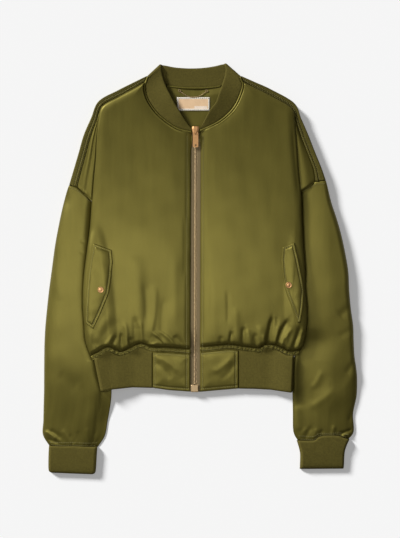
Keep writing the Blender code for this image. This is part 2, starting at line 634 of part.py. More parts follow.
def make_sleeve(half):
    """A flattened padded tube, with the thin gap between its two layers open at both ends."""
    (inner, via, bend, outer), tucked, crowns = sleeve_stations(half)
    rings, hollows = [], []
    for i in range(len(inner)):
        legs = [lerp(a[None], b[None], s)[0] for a, b, s in (
            (inner[i], via[i], TUCK_SHARES), (via[i], bend[i], VISIBLE_SHARES),
            (bend[i], outer[i], VISIBLE_SHARES))]
        plan = np.concatenate(legs)
        steps = np.sqrt((np.diff(plan, axis=0) ** 2).sum(-1))
        place = np.concatenate([[0.0], np.cumsum(steps)])
        width = place[-1]
        tuck = place[len(TUCK_SHARES) - 1]
        height = sleeve_height(place, width, tuck, tucked[i], crowns[i])
        below = np.array([width - 3.0, width - 12.0, place[6], place[3], 0.8])
        below_z = np.array([height[-1] * 0.35, 0.0, 0.0, 0.0, 0.0])
        spots = np.concatenate([place, below])
        heights = np.concatenate([height, below_z])
        rings.append(ring_points(plan, place, spots, heights))
        squeezed = SLEEVE_SIDES[0] + spots * (width - sum(SLEEVE_SIDES)) / width
        middle = 0.5 * (np.interp(squeezed, place, height)
                        + np.interp(squeezed, below[::-1], below_z[::-1]))
        half_slit = 0.15 + SLIT / 2 * np.sin(np.pi * squeezed / width)
        sign = np.concatenate([np.ones(len(place)), -np.ones(len(below))])
        sign[0] = sign[len(place) - 1] = 0.0
        hollows.append(ring_points(plan, place, squeezed, middle + sign * half_slit))
    return tube(f"sleeve_{half}", "satin", np.array(rings), np.array(hollows))


def ring_points(plan, place, spots, heights):
    """Points at distances spots along a plan line, each at its height."""
    x = np.interp(spots, place, plan[:, 0])
    y = np.interp(spots, place, plan[:, 1])
    return np.stack([x, y, heights], axis=1)


def make_cuff(half):
    """A rib knit tube, pressed flat: ribs on its upper face, plain and flat below."""
    data = CUFF[half]
    inner, outer = points(data, "inner"), points(data, "outer")
    width = np.sqrt(((outer - inner) ** 2).sum(-1))
    count = 2 * int(round(width.mean() / RIB_PITCH))
    share = np.linspace(0, 1, count + 1)
    rings, hollows = [], []
    for i in range(len(inner)):
        plan = lerp(inner[i:i + 1], outer[i:i + 1], share)[0]
        place = share * width[i]
        high = data["high"][i]
        edge = np.minimum(place, width[i] - place)
        height = crown(edge, high * 0.5, high, 6.0)
        height[1:-1:2] += RIB_HEIGHT / 2
        height[2:-1:2] -= RIB_HEIGHT / 2
        below = np.array([width[i] - 2.5, width[i] * 0.5, 2.5])
        below_z = np.array([0.0, 0.0, 0.0])
        spots = np.concatenate([place, below])
        heights = np.concatenate([height, below_z])
        rings.append(ring_points(plan, place, spots, heights))
        squeezed = 4.5 + spots * (width[i] - 9.0) / width[i]
        sign = np.concatenate([np.ones(len(place)), -np.ones(len(below))])
        sign[0] = sign[len(place) - 1] = 0.0
        hollows.append(ring_points(plan, place, squeezed, high * 0.5 + sign * 0.5))
    return tube(f"cuff_{half}", "rib", np.array(rings), np.array(hollows))


# ---------------------------------------------------------------- hem band

def band_lift(half, x, row):
    """Height of the band's underside at x, in one of the band's rows."""
    data = BAND[half]
    plan = np.stack([x, np.full_like(x, data["side_y"][row])], axis=1)[None]
    side = np.array([[data["side_x"][row], data["side_y"][row]]])
    return tuck_lift(plan, side, data["tuck"][row:row + 1])[0]


def band_y(half, x, row, edge):
    """Y of the band at x: under the panel's own last row, halfway, or at the bottom edge."""
    seam = np.interp(x, edge[:, 0], edge[:, 1]) - SEAM
    bottom = np.interp(x, HEM_BOTTOM["x"], HEM_BOTTOM["y"])
    return seam if row == 0 else bottom


def panel_hem(half, count, to_nape):
    """The last row of a panel, sorted along X."""
    plan = follow_hem(half_plan(half, count, to_nape)[0], half)[-1]
    return plan[np.argsort(plan[:, 0])]


def make_hem_rib():
    """The rib band: from the left tab round the side, across the back and round to the right."""
    outer, inner = [], []
    fold_turns = np.linspace(math.pi / 2, -math.pi / 2, 6)[1:-1]
    for row in range(2):
        out_row, in_row = [], []
        back_edge = np.concatenate([panel_hem("left", PANEL_COLUMNS, True),
                                    panel_hem("right", PANEL_COLUMNS, True)])
        for half, way in (("left", 1.0), ("right", -1.0)):
            side = BAND[half]["side_x"][row]
            start = TAB_END[half] - way * SEAM
            bend = side + way * KNIT * 1.1
            count = 2 * int(round(abs(BAND[half]["side_x"][1] - start) / RIB_PITCH))
            x = np.linspace(start, bend, count + 1)
            front_edge = panel_hem(half, PANEL_COLUMNS, False)
            y = band_y(half, x, row, front_edge)
            lift = band_lift(half, x, row)
            rib = np.where(np.arange(count + 1) % 2, RIB_HEIGHT / 2, -RIB_HEIGHT / 2)
            upper = lift + 2 * KNIT + GAP + rib
            lower = lift + KNIT + 2 * GAP
            turn_lift = band_lift(half, np.array([bend]), row)[0]
            centre_z = turn_lift + KNIT + GAP
            turn_x = bend - way * KNIT * 1.1 * np.cos(fold_turns)
            turn_y = band_y(half, turn_x, row, front_edge)
            around = list(zip(turn_x, turn_y, centre_z + (KNIT + GAP) * np.sin(fold_turns)))
            within_x = bend - way * HEM_FOLD_INSIDE * np.cos(fold_turns)
            within = list(zip(within_x, band_y(half, within_x, row, front_edge),
                              centre_z + GAP * np.sin(fold_turns)))
            front_out = list(zip(x, y, upper)) + around
            front_in = list(zip(x, y, lower)) + within
            if half == "left":
                out_row += front_out
                in_row += front_in
                clear_of_sleeve = side + BAND[half]["tuck"][row]
                x_back = np.concatenate([
                    [bend], clear_of_sleeve + np.array([0.0, LEAD_IN / 2, LEAD_IN]),
                    back_edge[(back_edge[:, 0] > -140) & (back_edge[:, 0] < 167)][:, 0],
                    [BAND["right"]["side_x"][row] - KNIT * 1.1]])
                lift_back = band_lift("left", x_back, row)
                y_back = band_y("left", x_back, row, back_edge) - SEAM
                out_row += list(zip(x_back, y_back, lift_back))
                in_row += list(zip(x_back, y_back, lift_back + KNIT))
            else:
                out_row += front_out[::-1]
                in_row += front_in[::-1]
        outer.append(out_row)
        inner.append(in_row)
    return shell("hem_rib", "rib", np.array(inner), np.array(outer))


def make_hem_tab(half):
    """The satin end of the hem band beside the zip."""
    zip_side = FLANK[half]["inner_x"][-1]
    x = np.linspace(TAB_END[half], zip_side, 8)
    edge = panel_hem(half, PANEL_COLUMNS, False)
    seam = np.interp(x, edge[:, 0], edge[:, 1]) - SEAM
    bottom = np.interp(x, HEM_BOTTOM["x"], HEM_BOTTOM["y"])
    shares = np.array([0.0, 0.08, 0.3, 0.6, 0.9, 1.0])[:, None]
    y = seam + (bottom - seam) * shares
    plan = np.stack([np.broadcast_to(x, y.shape), y], axis=-1)
    away = np.minimum(np.abs(x - x[0]), np.abs(x - x[-1]))[None, :]
    rise = crown(np.minimum(away, np.minimum(seam - y, y - bottom)), 4.4, 6.2, 14.0)
    base = KNIT + 2 * GAP
    return shell(f"hem_tab_{half}", "satin", at_height(plan, base), at_height(plan, base + rise))


# ---------------------------------------------------------------- collar and neck

def spread(line, step):
    """Points at even steps along a line of points, keeping both ends."""
    lengths = np.sqrt((np.diff(line, axis=0) ** 2).sum(-1))
    along = np.concatenate([[0.0], np.cumsum(lengths)])
    count = max(2, int(round(along[-1] / step)))
    count += count % 2
    spots = np.linspace(0, along[-1], count + 1)
    return np.stack([np.interp(spots, along, line[:, k]) for k in range(line.shape[1])], axis=1)


def neck_edge(half):
    """The front's neck seam, from the zip up to the shoulder strip."""
    return points(SHOULDER[half], "inner")[5::-1]


def offset_line(line, distance, half):
    """A line moved sideways towards the neck opening, mitred at its corners."""
    run = np.diff(line, axis=0)
    run /= np.sqrt((run * run).sum(-1))[:, None]
    away = np.stack([run[:, 1], -run[:, 0]], axis=1) * (1.0 if half == "left" else -1.0)
    mitre = away[:-1] + away[1:]
    mitre *= 2 / (mitre * mitre).sum(-1)[:, None]
    return line + distance * np.concatenate([away[:1], mitre, away[-1:]])


def nape_edge():
    """The back panel's neck seam, sorted along X."""
    rows = [half_plan(half, PANEL_COLUMNS, True)[0][0] for half in ("left", "right")]
    edge = np.concatenate(rows)
    return edge[np.argsort(edge[:, 0])]


def make_collar():
    """The rib band round the neck: front, fold at the neck point, back, fold, front."""
    outer_rows = {"seam": [], "free": []}
    inner_rows = {"seam": [], "free": []}

    def stretch(seam, free, seam_z, free_z, up_is_outer):
        """Adds one flat stretch of the band, with ribs on its upper face."""
        both_edges = np.concatenate([seam, free, seam_z[:, None], free_z[:, None]], axis=1)
        line = spread(both_edges, RIB_PITCH / math.sqrt(2))
        rib = np.where(np.arange(len(line)) % 2, RIB_HEIGHT / 2, -RIB_HEIGHT / 2)
        for name, x, z in (("seam", 0, 4), ("free", 2, 5)):
            above = np.stack([line[:, x], line[:, x + 1], line[:, z] + KNIT / 2 + rib], axis=1)
            below = np.stack([line[:, x], line[:, x + 1], line[:, z] - KNIT / 2], axis=1)
            first, second = (above, below) if up_is_outer else (below, above)
            outer_rows[name].extend(first)
            inner_rows[name].extend(second)

    def turn(half, upwards):
        """Adds the fold at a neck point: a flat half turn between the two layers."""
        base, tip = np.stack([COLLAR_POINT[half]["x"], COLLAR_POINT[half]["y"]], axis=1)
        along = (tip - base) / np.sqrt(((tip - base) ** 2).sum())
        way = 1.0 if half == "left" else -1.0
        across = np.array([-along[1], along[0]]) * way
        angles = np.linspace(math.pi / 2, -math.pi / 2, 5)
        angles = angles[::-1] if upwards else angles
        for name, spot, high in (("seam", base, COLLAR_HIGH), ("free", tip, COLLAR_POINT_HIGH)):
            radius = (high - COLLAR_LOW) / 2
            middle = (high + COLLAR_LOW) / 2
            centre = spot - across * COLLAR_TURN
            for a in angles:
                for rows, depth, r in ((outer_rows, COLLAR_TURN, radius + KNIT / 2),
                                       (inner_rows, 0.8, radius - KNIT / 2)):
                    flat = centre + across * depth * math.cos(a)
                    rows[name].append(np.array([flat[0], flat[1], middle + r * math.sin(a)]))

    def front(half):
        free = np.stack([COLLAR_FREE[half]["x"], COLLAR_FREE[half]["y"]], axis=1)
        seam = spread(offset_line(neck_edge(half), PIPING, half), 1.0)
        seam = seam[np.linspace(0, len(seam) - 1, len(free)).astype(int)]
        drop = np.clip((free[:, 1] - 330.0) / 50.0, 0, 1)
        free_z = COLLAR_HIGH + (COLLAR_POINT_HIGH - COLLAR_HIGH) * drop
        seam_z = np.full(len(seam), COLLAR_HIGH)
        return seam, free, seam_z, free_z

    stretch(*front("left"), True)
    turn("left", False)
    nape = nape_edge()
    seam_y = np.interp(COLLAR_BACK["seam_x"], nape[:, 0], nape[:, 1]) + SEAM
    back = np.stack([COLLAR_BACK["seam_x"], seam_y], axis=1), points(COLLAR_BACK, "free")
    low = np.full(len(back[0]), COLLAR_LOW)
    stretch(*back, low, low, False)
    turn("right", True)
    stretch(*[part[::-1] for part in front("right")], True)
    outer = np.array([outer_rows["seam"], outer_rows["free"]])
    inner = np.array([inner_rows["seam"], inner_rows["free"]])
    return shell("collar", "rib", inner, outer)


def make_neck_piping(half):
    """The turned satin edge between the collar and one front."""
    edge = neck_edge(half)
    shares = (SEAM, PIPING * 0.3, PIPING * 0.7, PIPING - SEAM)
    plan = np.stack([offset_line(edge, share, half) for share in shares], axis=1)
    rise = np.array([2.0, 5.8, 5.8, 2.0])
    base = MID + GAP
    return shell(f"neck_piping_{half}", "satin", at_height(plan, base),
                 at_height(plan, base + rise[None, :]))


# ---------------------------------------------------------------- pockets

def make_flap(half, front):
    """A pocket flap on the front, made from the front's own face, moved out."""
    data = FLAP[half]
    shares = np.linspace(0, 1, 6)
    rows = np.linspace(0, len(data["edge_x"]) - 1, 11)
    stations = np.arange(len(data["edge_x"]))
    edge = np.stack([np.interp(rows, stations, data["edge_x"]),
                     np.interp(rows, stations, data["edge_y"])], axis=1)
    lip = np.stack([np.interp(rows, stations, data["lip_x"]),
                    np.interp(rows, stations, data["lip_y"])], axis=1)
    plan = lerp(edge, lip, shares)
    base = rest_on(front, plan) + 2 * GAP
    outline = np.concatenate([edge, lip[::-1], edge[:1]])
    thick = crown(edge_distance(plan, outline), FLAP_THICK * 0.6, FLAP_THICK, 8.0)
    return shell(f"pocket_flap_{half}", "satin", at_height(plan, base),
                 at_height(plan, base + thick))


def make_snap(half, flap):
    """A domed snap cap on the flap."""
    x, y = SNAP[half]
    rim = np.linspace(0, 2 * math.pi, 16)
    spots = np.stack([x + SNAP_RADIUS * np.cos(rim), y + SNAP_RADIUS * np.sin(rim)], axis=1)
    base = drop_onto(flap, spots).max() + GAP
    sides = 20
    turn = np.linspace(0, 2 * math.pi, sides, endpoint=False)
    vertices = [(x + SNAP_RADIUS * r * math.cos(a), y + SNAP_RADIUS * r * math.sin(a), base + z)
                for r, z in SNAP_PROFILE for a in turn]
    faces = [tuple(range(sides))[::-1], tuple(range(3 * sides, 4 * sides))]
    for ring in range(len(SNAP_PROFILE) - 1):
        for k in range(sides):
            nxt = (k + 1) % sides
            faces.append((ring * sides + k, ring * sides + nxt, (ring + 1) * sides + nxt,
                          (ring + 1) * sides + k))
    return add_node(f"snap_{half}", "copper", vertices, faces)


# ---------------------------------------------------------------- zip

def zip_rows(low, high):
    """Y and layer height of the body's rows along the zip between two places."""
    y = np.concatenate([SHOULDER["left"]["inner_y"][5:], FLANK["left"]["inner_y"]])
    mid = np.concatenate([np.full(4, MID), FLANK["left"]["mid"]])
    other_y = np.concatenate([SHOULDER["right"]["inner_y"][5:], FLANK["right"]["inner_y"]])
    other_mid = np.concatenate([np.full(4, MID), FLANK["right"]["mid"]])
    stations = np.unique(np.concatenate([y, other_y, [low, high, -132.0, -165.0]]))
    stations = stations[(stations >= low) & (stations <= high)][::-1]
    layer = np.maximum(np.interp(-stations, -y, mid), np.interp(-stations, -other_y, other_mid))
    return stations, layer


def zip_centre(y):
    """X of the zip's middle line, which leans a little to the left on its way down."""
    return np.interp(y, ZIP_MIDDLE["y"], ZIP_MIDDLE["x"])


def make_tape(half):
    """The strip of zip tape that shows between the teeth and one front."""
    way = -1.0 if half == "left" else 1.0
    y, layer = zip_rows(-231.0, 257.0)
    near = zip_centre(y) + way * (ZIP_HALF + SEAM)
    top, low = SHOULDER[half], FLANK[half]
    edge_y = np.concatenate([top["inner_y"][5:], low["inner_y"], [-240.0]])
    edge_x = np.concatenate([top["inner_x"][5:], low["inner_x"], low["inner_x"][-1:]])
    far = np.interp(-y, -edge_y, edge_x) - way * SEAM
    plan = np.stack([np.stack([near, y], axis=1), np.stack([far, y], axis=1)], axis=1)
    base = layer[:, None] + GAP
    return shell(f"zip_tape_{half}", "tape", at_height(plan, base), at_height(plan, base + TAPE_THICK))


def make_chain():
    """The closed teeth as one bar."""
    y, layer = zip_rows(-218.0, 253.0)
    x = zip_centre(y)
    shares = np.array([-1.0, -0.6, 0.6, 1.0]) * ZIP_HALF
    plan = np.stack([x[:, None] + shares[None, :], np.repeat(y[:, None], 4, axis=1)], axis=-1)
    base = layer[:, None] + GAP
    rise = TEETH_HIGH * np.array([0.7, 1.0, 1.0, 0.7])[None, :]
    return shell("zip_chain", "brass", at_height(plan, base), at_height(plan, base + rise))


def make_box():
    """The metal box at the zip's lower end."""
    x0, x1 = ZIP_BOX["x"]
    y0, y1 = ZIP_BOX["y"]
    base = KNIT + 2 * GAP + TAPE_THICK + GAP
    xs = np.array([x0, x0 + BOX_RADIUS, x1 - BOX_RADIUS, x1])
    ys = np.array([y0, y0 - BOX_RADIUS, y1 + BOX_RADIUS, y1])
    plan = np.stack(np.meshgrid(xs, ys), axis=-1)
    edge = np.array([0.7, 1.0, 1.0, 0.7])
    rise = BOX_HIGH * np.minimum.outer(edge, edge)
    return shell("zip_box", "brass", at_height(plan, base), at_height(plan, base + rise))


def boolean(target, operation, other):
    """Joins or cuts a body with another, which becomes a guide."""
    change = target.modifiers.new(other.name, "BOOLEAN")
    change.operation = operation
    change.object = other
    other.hide_render = True
    other.display_type = "WIRE"


def block(name, kind, low, high):
    """A box between two corners."""
    xs, ys = np.array([low[0], high[0]]), np.array([high[1], low[1]])
    plan = np.stack(np.meshgrid(xs, ys), axis=-1).astype(float)
    return shell(name, kind, at_height(plan, low[2]), at_height(plan, high[2]))


def rod(name, kind, start, end, radius, sides=12):
    """A round rod between two points, with flat ends."""
    start, end = np.array(start, float), np.array(end, float)
    axis = (end - start) / np.sqrt(((end - start) ** 2).sum())
    side = np.cross(axis, (0.0, 0.0, 1.0) if abs(axis[2]) < 0.9 else (1.0, 0.0, 0.0))
    side /= np.sqrt((side * side).sum())
    up = np.cross(axis, side)
    turn = np.linspace(0, 2 * math.pi, sides, endpoint=False)
    ring = radius * (np.cos(turn)[:, None] * side + np.sin(turn)[:, None] * up)
    vertices = np.concatenate([start + ring, end + ring])
    faces = [tuple(range(sides))[::-1], tuple(range(sides, 2 * sides))]
    faces += [(k, (k + 1) % sides, sides + (k + 1) % sides, sides + k) for k in range(sides)]
    return add_node(name, kind, vertices, faces)


def make_slider():
    """The slider: a waisted body with the bridge that holds the pull tab."""
    x, hinge_y, hinge_z = HINGE
    ys = np.array([SLIDER_TOP, SLIDER_TOP - 4.0, SLIDER_BOTTOM + 4.5, SLIDER_BOTTOM])
    half = SLIDER_HALF * np.array([0.9, 1.0, 0.82, 0.74])
    shares = np.array([-1.0, -0.55, 0.55, 1.0])
    plan = np.stack([x + half[:, None] * shares[None, :], np.repeat(ys[:, None], 4, axis=1)],
                    axis=-1)
    base = MID + TAPE_THICK + 2 * GAP
    rise = SLIDER_HIGH * np.outer([0.8, 1.0, 1.0, 0.85], [0.78, 1.0, 1.0, 0.78])
    body = shell("zip_slider", "copper", at_height(plan, base), at_height(plan, base + rise))
    inside = BRIDGE_FEET - BRIDGE_WALL
    above = BAR_RADIUS + 0.4
    arch = block("bridge_guide", "copper",
                 (x - BRIDGE_HALF, hinge_y - BRIDGE_FEET, base + SLIDER_HIGH / 2),
                 (x + BRIDGE_HALF, hinge_y + BRIDGE_FEET, hinge_z + above + BRIDGE_WALL))
    way_through = block("bridge_cutter", "copper",
                        (x - CUTTER_REACH, hinge_y - inside, hinge_z - above),
                        (x + CUTTER_REACH, hinge_y + inside, hinge_z + above))
    boolean(body, "UNION", arch)
    boolean(body, "DIFFERENCE", way_through)
    return body


def make_pull_tab():
    """The pull tab: a forked plate with a hole, and the bar that turns in the bridge."""
    half, thick, chamfer = TAB_HALF, TAB_THICK / 2, 2.2
    corner = [(half, chamfer - TAB_LENGTH), (half - chamfer * 0.3, chamfer * 0.3 - TAB_LENGTH),
              (half - chamfer, -TAB_LENGTH)]
    right = [(half - 0.8, 0.7), (half, -2.0)] + corner
    outline = right + [(-x, y) for x, y in right[::-1]]
    count = len(outline)
    vertices = [(x, y, -thick) for x, y in outline] + [(x, y, thick) for x, y in outline]
    faces = [tuple(range(count)), tuple(range(count, 2 * count))]
    faces += [(k, (k + 1) % count, count + (k + 1) % count, count + k) for k in range(count)]
    tab = add_node("pull_tab", "copper", vertices, faces)
    beside = BRIDGE_HALF + 0.6
    hole_y = 2 * TAB_HOLE - TAB_LENGTH
    slot = block("slot_cutter", "copper", (-beside, -BRIDGE_FEET - 1.3, -CUTTER_REACH),
                 (beside, CUTTER_REACH, CUTTER_REACH))
    hole = rod("hole_cutter", "copper", (0, hole_y, -CUTTER_REACH), (0, hole_y, CUTTER_REACH),
               TAB_HOLE, 16)
    bar = rod("bar_guide", "copper", (1.2 - half, 0, 0), (half - 1.2, 0, 0), BAR_RADIUS)
    boolean(tab, "DIFFERENCE", slot)
    boolean(tab, "DIFFERENCE", hole)
    boolean(tab, "UNION", bar)
    for piece in (tab, slot, hole, bar):
        piece.location = [c * MM for c in HINGE]
        piece.rotation_euler = (math.radians(TAB_TILT), 0.0, 0.0)
    return tab


# ---------------------------------------------------------------- inside the neck

def make_neck_binding(back):
    """The satin binding over the back neck seam, between the fronts' collar edges."""
    edge = nape_edge()
    x = np.linspace(*BINDING_REACH, 13)
    y = np.interp(x, edge[:, 0], edge[:, 1]) + SEAM / 2
    plan = np.stack([np.stack([x, y + BINDING_HALF * share], axis=1)
                     for share in (1.0, 0.5, -0.5, -1.0)], axis=1)
    below = np.maximum(drop_onto(back, plan, 0.0).max(axis=1), KNIT + RIB_HEIGHT / 2)
    base = below[:, None] + 2 * GAP
    rise = BINDING_HIGH * np.array([0.4, 1.0, 1.0, 0.4])
    return shell("neck_binding", "satin", at_height(plan, base), at_height(plan, base + rise))


def make_label(back):
    """A blank woven label on the inside of the back."""
    x = np.linspace(*LABEL["x"], 7)
    y = np.linspace(*LABEL["y"], 4)
    plan = np.stack(np.meshgrid(x, y), axis=-1)
    base = rest_on(back, plan) + GAP
    return shell("neck_label", "label", at_height(plan, base),
                 at_height(plan, base + LABEL_THICK))


def swept(name, kind, path, across, up, radius, closed):
    """A round wire along a path, with flat ends, or closed on itself."""
    turn = np.linspace(0, 2 * math.pi, 6, endpoint=False)[None, :, None]
    rings = path[:, None] + radius * (np.cos(turn) * across[:, None] + np.sin(turn) * up)
    steps, count = rings.shape[:2]
    faces = [] if closed else [tuple(range(count)), tuple(range((steps - 1) * count,
                                                                steps * count))]
    for step in range(steps if closed else steps - 1):
        after = (step + 1) % steps
        for k in range(count):
            n = (k + 1) % count
            faces.append((step * count + k, step * count + n, after * count + n,
                          after * count + k))
    return add_node(name, kind, rings.reshape(-1, 3), faces)


def make_hanger(back):
    """The hanger chain between its two rings, lying on the inside of the back."""
    up = np.array([0.0, 0.0, 1.0])
    for half, centre in RING.items():
        turn = np.linspace(0, 2 * math.pi, 14, endpoint=False)
        away = np.stack([np.cos(turn), np.sin(turn)], axis=1)
        spots = np.array(centre) + RING_RADIUS * away
        height = drop_onto(back, spots).max() + 2 * GAP + RING_WIRE
        swept(f"hanger_ring_{half}", "brass", at_height(spots, height), at_height(away, 0.0), up,
              RING_WIRE, True)
    share = np.linspace(0, 1, 15)
    clear = RING_RADIUS + RING_WIRE + CHAIN_WIRE
    start = np.array(RING["left"]) + clear * np.array([0.75, -0.66])
    end = np.array(RING["right"]) + clear * np.array([-0.75, -0.66])
    line = start + (end - start) * share[:, None]
    line[:, 1] -= CHAIN_SAG * 4 * share * (1 - share)
    path = at_height(line, drop_onto(back, line) + 3 * GAP + CHAIN_WIRE)
    run = np.gradient(line, axis=0)
    run /= np.sqrt((run * run).sum(-1))[:, None]
    across = at_height(np.stack([-run[:, 1], run[:, 0]], axis=1), 0.0)
    return swept("hanger_chain", "brass", path, across, up, CHAIN_WIRE, False)


def build():
    """Clears the scene and makes every piece."""
    for old in list(bpy.data.objects):
        bpy.data.objects.remove(old, do_unlink=True)
    back = make_back()
    for half in ("left", "right"):
        front = make_front(half)
        make_strip(half)
        make_sleeve(half)
        make_cuff(half)
        make_hem_tab(half)
        make_neck_piping(half)
        flap = make_flap(half, front)
        make_snap(half, flap)
        make_tape(half)
    make_hem_rib()
    make_collar()
    make_chain()
    make_box()
    make_slider()
    make_pull_tab()
    make_neck_binding(back)
    make_label(back)
    make_hanger(back)


build()
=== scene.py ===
"""Padded satin bomber jacket, zipped up and laid flat on its back: the looks of its pieces.

The file is laid out as a Blender add-on and is run as a script. Tables and lengths are in
millimetres and become metres when a mesh is made. +Y runs to the neck, +Z is up from the floor
and +X runs to the right as the jacket is seen from above. Left and right are meant that way too.
"""
import json
import math

import bpy
import numpy as np
from mathutils import Vector
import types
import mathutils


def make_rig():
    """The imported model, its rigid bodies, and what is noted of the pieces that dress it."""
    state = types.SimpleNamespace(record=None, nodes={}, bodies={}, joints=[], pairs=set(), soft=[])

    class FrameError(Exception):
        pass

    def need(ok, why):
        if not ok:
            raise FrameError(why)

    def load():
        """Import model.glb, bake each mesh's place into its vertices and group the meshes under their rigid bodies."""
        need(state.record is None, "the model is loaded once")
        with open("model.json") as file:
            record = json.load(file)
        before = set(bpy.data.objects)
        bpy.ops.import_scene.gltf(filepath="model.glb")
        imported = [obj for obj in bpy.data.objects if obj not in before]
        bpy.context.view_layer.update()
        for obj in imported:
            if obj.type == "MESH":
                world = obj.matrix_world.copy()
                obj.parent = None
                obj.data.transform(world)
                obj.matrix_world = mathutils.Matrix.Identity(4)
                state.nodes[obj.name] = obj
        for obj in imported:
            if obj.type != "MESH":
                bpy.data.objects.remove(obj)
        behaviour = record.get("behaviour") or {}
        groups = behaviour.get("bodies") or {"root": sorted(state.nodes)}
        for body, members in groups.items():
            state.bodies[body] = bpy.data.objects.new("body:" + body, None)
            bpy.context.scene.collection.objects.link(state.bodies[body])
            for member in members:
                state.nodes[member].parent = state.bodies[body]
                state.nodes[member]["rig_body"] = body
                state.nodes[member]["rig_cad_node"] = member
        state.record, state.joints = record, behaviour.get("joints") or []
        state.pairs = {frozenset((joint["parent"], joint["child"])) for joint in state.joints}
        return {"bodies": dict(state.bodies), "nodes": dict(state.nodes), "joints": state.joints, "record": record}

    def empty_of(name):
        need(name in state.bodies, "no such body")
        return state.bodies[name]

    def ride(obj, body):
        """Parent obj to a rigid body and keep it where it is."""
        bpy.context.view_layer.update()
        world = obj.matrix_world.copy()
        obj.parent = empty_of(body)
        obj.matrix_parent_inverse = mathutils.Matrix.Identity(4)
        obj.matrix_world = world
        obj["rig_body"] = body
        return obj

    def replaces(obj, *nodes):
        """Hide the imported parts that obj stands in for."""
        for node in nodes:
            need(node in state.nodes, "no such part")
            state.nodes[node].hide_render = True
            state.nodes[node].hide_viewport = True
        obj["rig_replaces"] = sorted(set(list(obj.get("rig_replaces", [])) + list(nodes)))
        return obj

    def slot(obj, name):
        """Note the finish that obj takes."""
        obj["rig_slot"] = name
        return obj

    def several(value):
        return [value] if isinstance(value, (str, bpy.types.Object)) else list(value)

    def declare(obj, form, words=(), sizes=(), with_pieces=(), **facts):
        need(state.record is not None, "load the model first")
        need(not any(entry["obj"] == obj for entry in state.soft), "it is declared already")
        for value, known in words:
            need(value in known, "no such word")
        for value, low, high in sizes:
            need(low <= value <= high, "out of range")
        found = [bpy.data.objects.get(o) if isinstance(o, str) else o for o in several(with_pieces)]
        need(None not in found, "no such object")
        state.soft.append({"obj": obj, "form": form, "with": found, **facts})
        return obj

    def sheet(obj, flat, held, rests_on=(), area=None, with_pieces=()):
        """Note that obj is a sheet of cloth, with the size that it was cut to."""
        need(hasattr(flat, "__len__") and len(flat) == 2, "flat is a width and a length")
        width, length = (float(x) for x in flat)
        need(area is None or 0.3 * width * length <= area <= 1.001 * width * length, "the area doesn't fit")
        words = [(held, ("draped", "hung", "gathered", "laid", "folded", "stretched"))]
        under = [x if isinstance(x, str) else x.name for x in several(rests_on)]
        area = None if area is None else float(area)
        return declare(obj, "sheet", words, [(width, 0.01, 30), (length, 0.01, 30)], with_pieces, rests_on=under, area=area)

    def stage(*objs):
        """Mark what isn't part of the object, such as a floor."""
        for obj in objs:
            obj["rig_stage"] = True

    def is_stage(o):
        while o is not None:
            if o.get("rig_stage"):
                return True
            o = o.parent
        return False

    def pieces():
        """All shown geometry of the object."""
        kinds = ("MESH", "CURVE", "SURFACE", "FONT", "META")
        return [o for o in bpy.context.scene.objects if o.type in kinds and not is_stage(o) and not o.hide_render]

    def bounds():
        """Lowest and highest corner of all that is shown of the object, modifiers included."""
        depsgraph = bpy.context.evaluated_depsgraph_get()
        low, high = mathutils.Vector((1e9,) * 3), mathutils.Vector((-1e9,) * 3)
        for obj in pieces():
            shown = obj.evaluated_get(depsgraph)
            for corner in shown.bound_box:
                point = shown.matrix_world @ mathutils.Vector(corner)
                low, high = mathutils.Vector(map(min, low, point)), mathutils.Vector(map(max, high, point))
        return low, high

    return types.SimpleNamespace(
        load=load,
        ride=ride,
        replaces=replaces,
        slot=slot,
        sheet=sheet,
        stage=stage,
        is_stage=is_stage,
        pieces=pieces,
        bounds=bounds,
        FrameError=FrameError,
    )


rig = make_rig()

bl_info = {
    "name": "Bomber Jacket",
    "version": (1, 0, 0),
    "blender": (4, 5, 0),
    "location": "View3D > Sidebar > Jacket",
    "description": "Padded satin bomber jacket with rib knit, a metal zip and pocket flaps",
    "category": "Object",
}

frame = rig.load()
CAD_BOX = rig.bounds()
MM = 0.001
HALVES = ("left", "right")
WAY = {"left": 1.0, "right": -1.0}           # along X, from a half towards the zip
WHITE = (1.0, 1.0, 1.0, 1.0)

FOCAL_LENGTH = 85.0      # of the camera's lens
SENSOR = 36.0            # height of its sensor
VIEW_HEIGHT = 1.0222     # metres of floor that it sees from top to bottom
FLOOR_HALF = 4.0         # metres from the floor's middle to its edge
WINDOW_WAY = (0.75, -0.66, -0.404)           # where the window's light goes
WINDOW_SPREAD = 12.0                         # degrees that the window seems wide
STRIP_LIGHT_PLACE = (-0.285, -0.03, 0.62)    # metres
STRIP_LIGHT_SIZE = (0.85, 0.34)              # metres
BIAS_PAINTED_SHADE = 0.66        # share of the satin's colour kept on the shoulder strips: painted shade for their darker sheen

SEAT = 0.3               # gap between two pieces that lie on each other
THIN = 0.7               # thickness of a front at its edges
MID = 11.0               # height of the layer line between the back and the fronts
HEM_LAYER = 5.4          # its height at the hem seam
HEM_RISE = 40.0          # length over which it comes up from there
HEM_SEWN = 7.4           # width of the flat, double-stitched edge above the hem seam
HEM_STRIP = 4.2          # thickness of that edge where the front isn't gathered
HEM_STITCHES = (1.8, 5.8)                    # from the hem seam to the stitches on that edge
HEM_BEND = 48.0          # length over which the rows of points bend to the hem seam's waves
ZIP_DOME = 75.0          # length from the zip to where a front's padding is full
EDGE_DOME = 45.0         # the same from its side and its neck seam
FRONT_EDGE = 4.5         # thickness of a front beside its seams, and the length it takes
TUCK_EDGE = 5.9          # height of the body's underside over the inner edge of a tucked sleeve
TUCK_SLOPE = 0.20        # its rise from there towards the body's side edge
LEAD_IN = 22.0           # length over which the body comes down again to the floor
BACK_RIM = 3.2           # thickness of the back at the side seam
KNIT = 5.0               # thickness of the doubled rib knit
COLLAR_TURN = 4.6        # depth of the collar's folds at the neck points
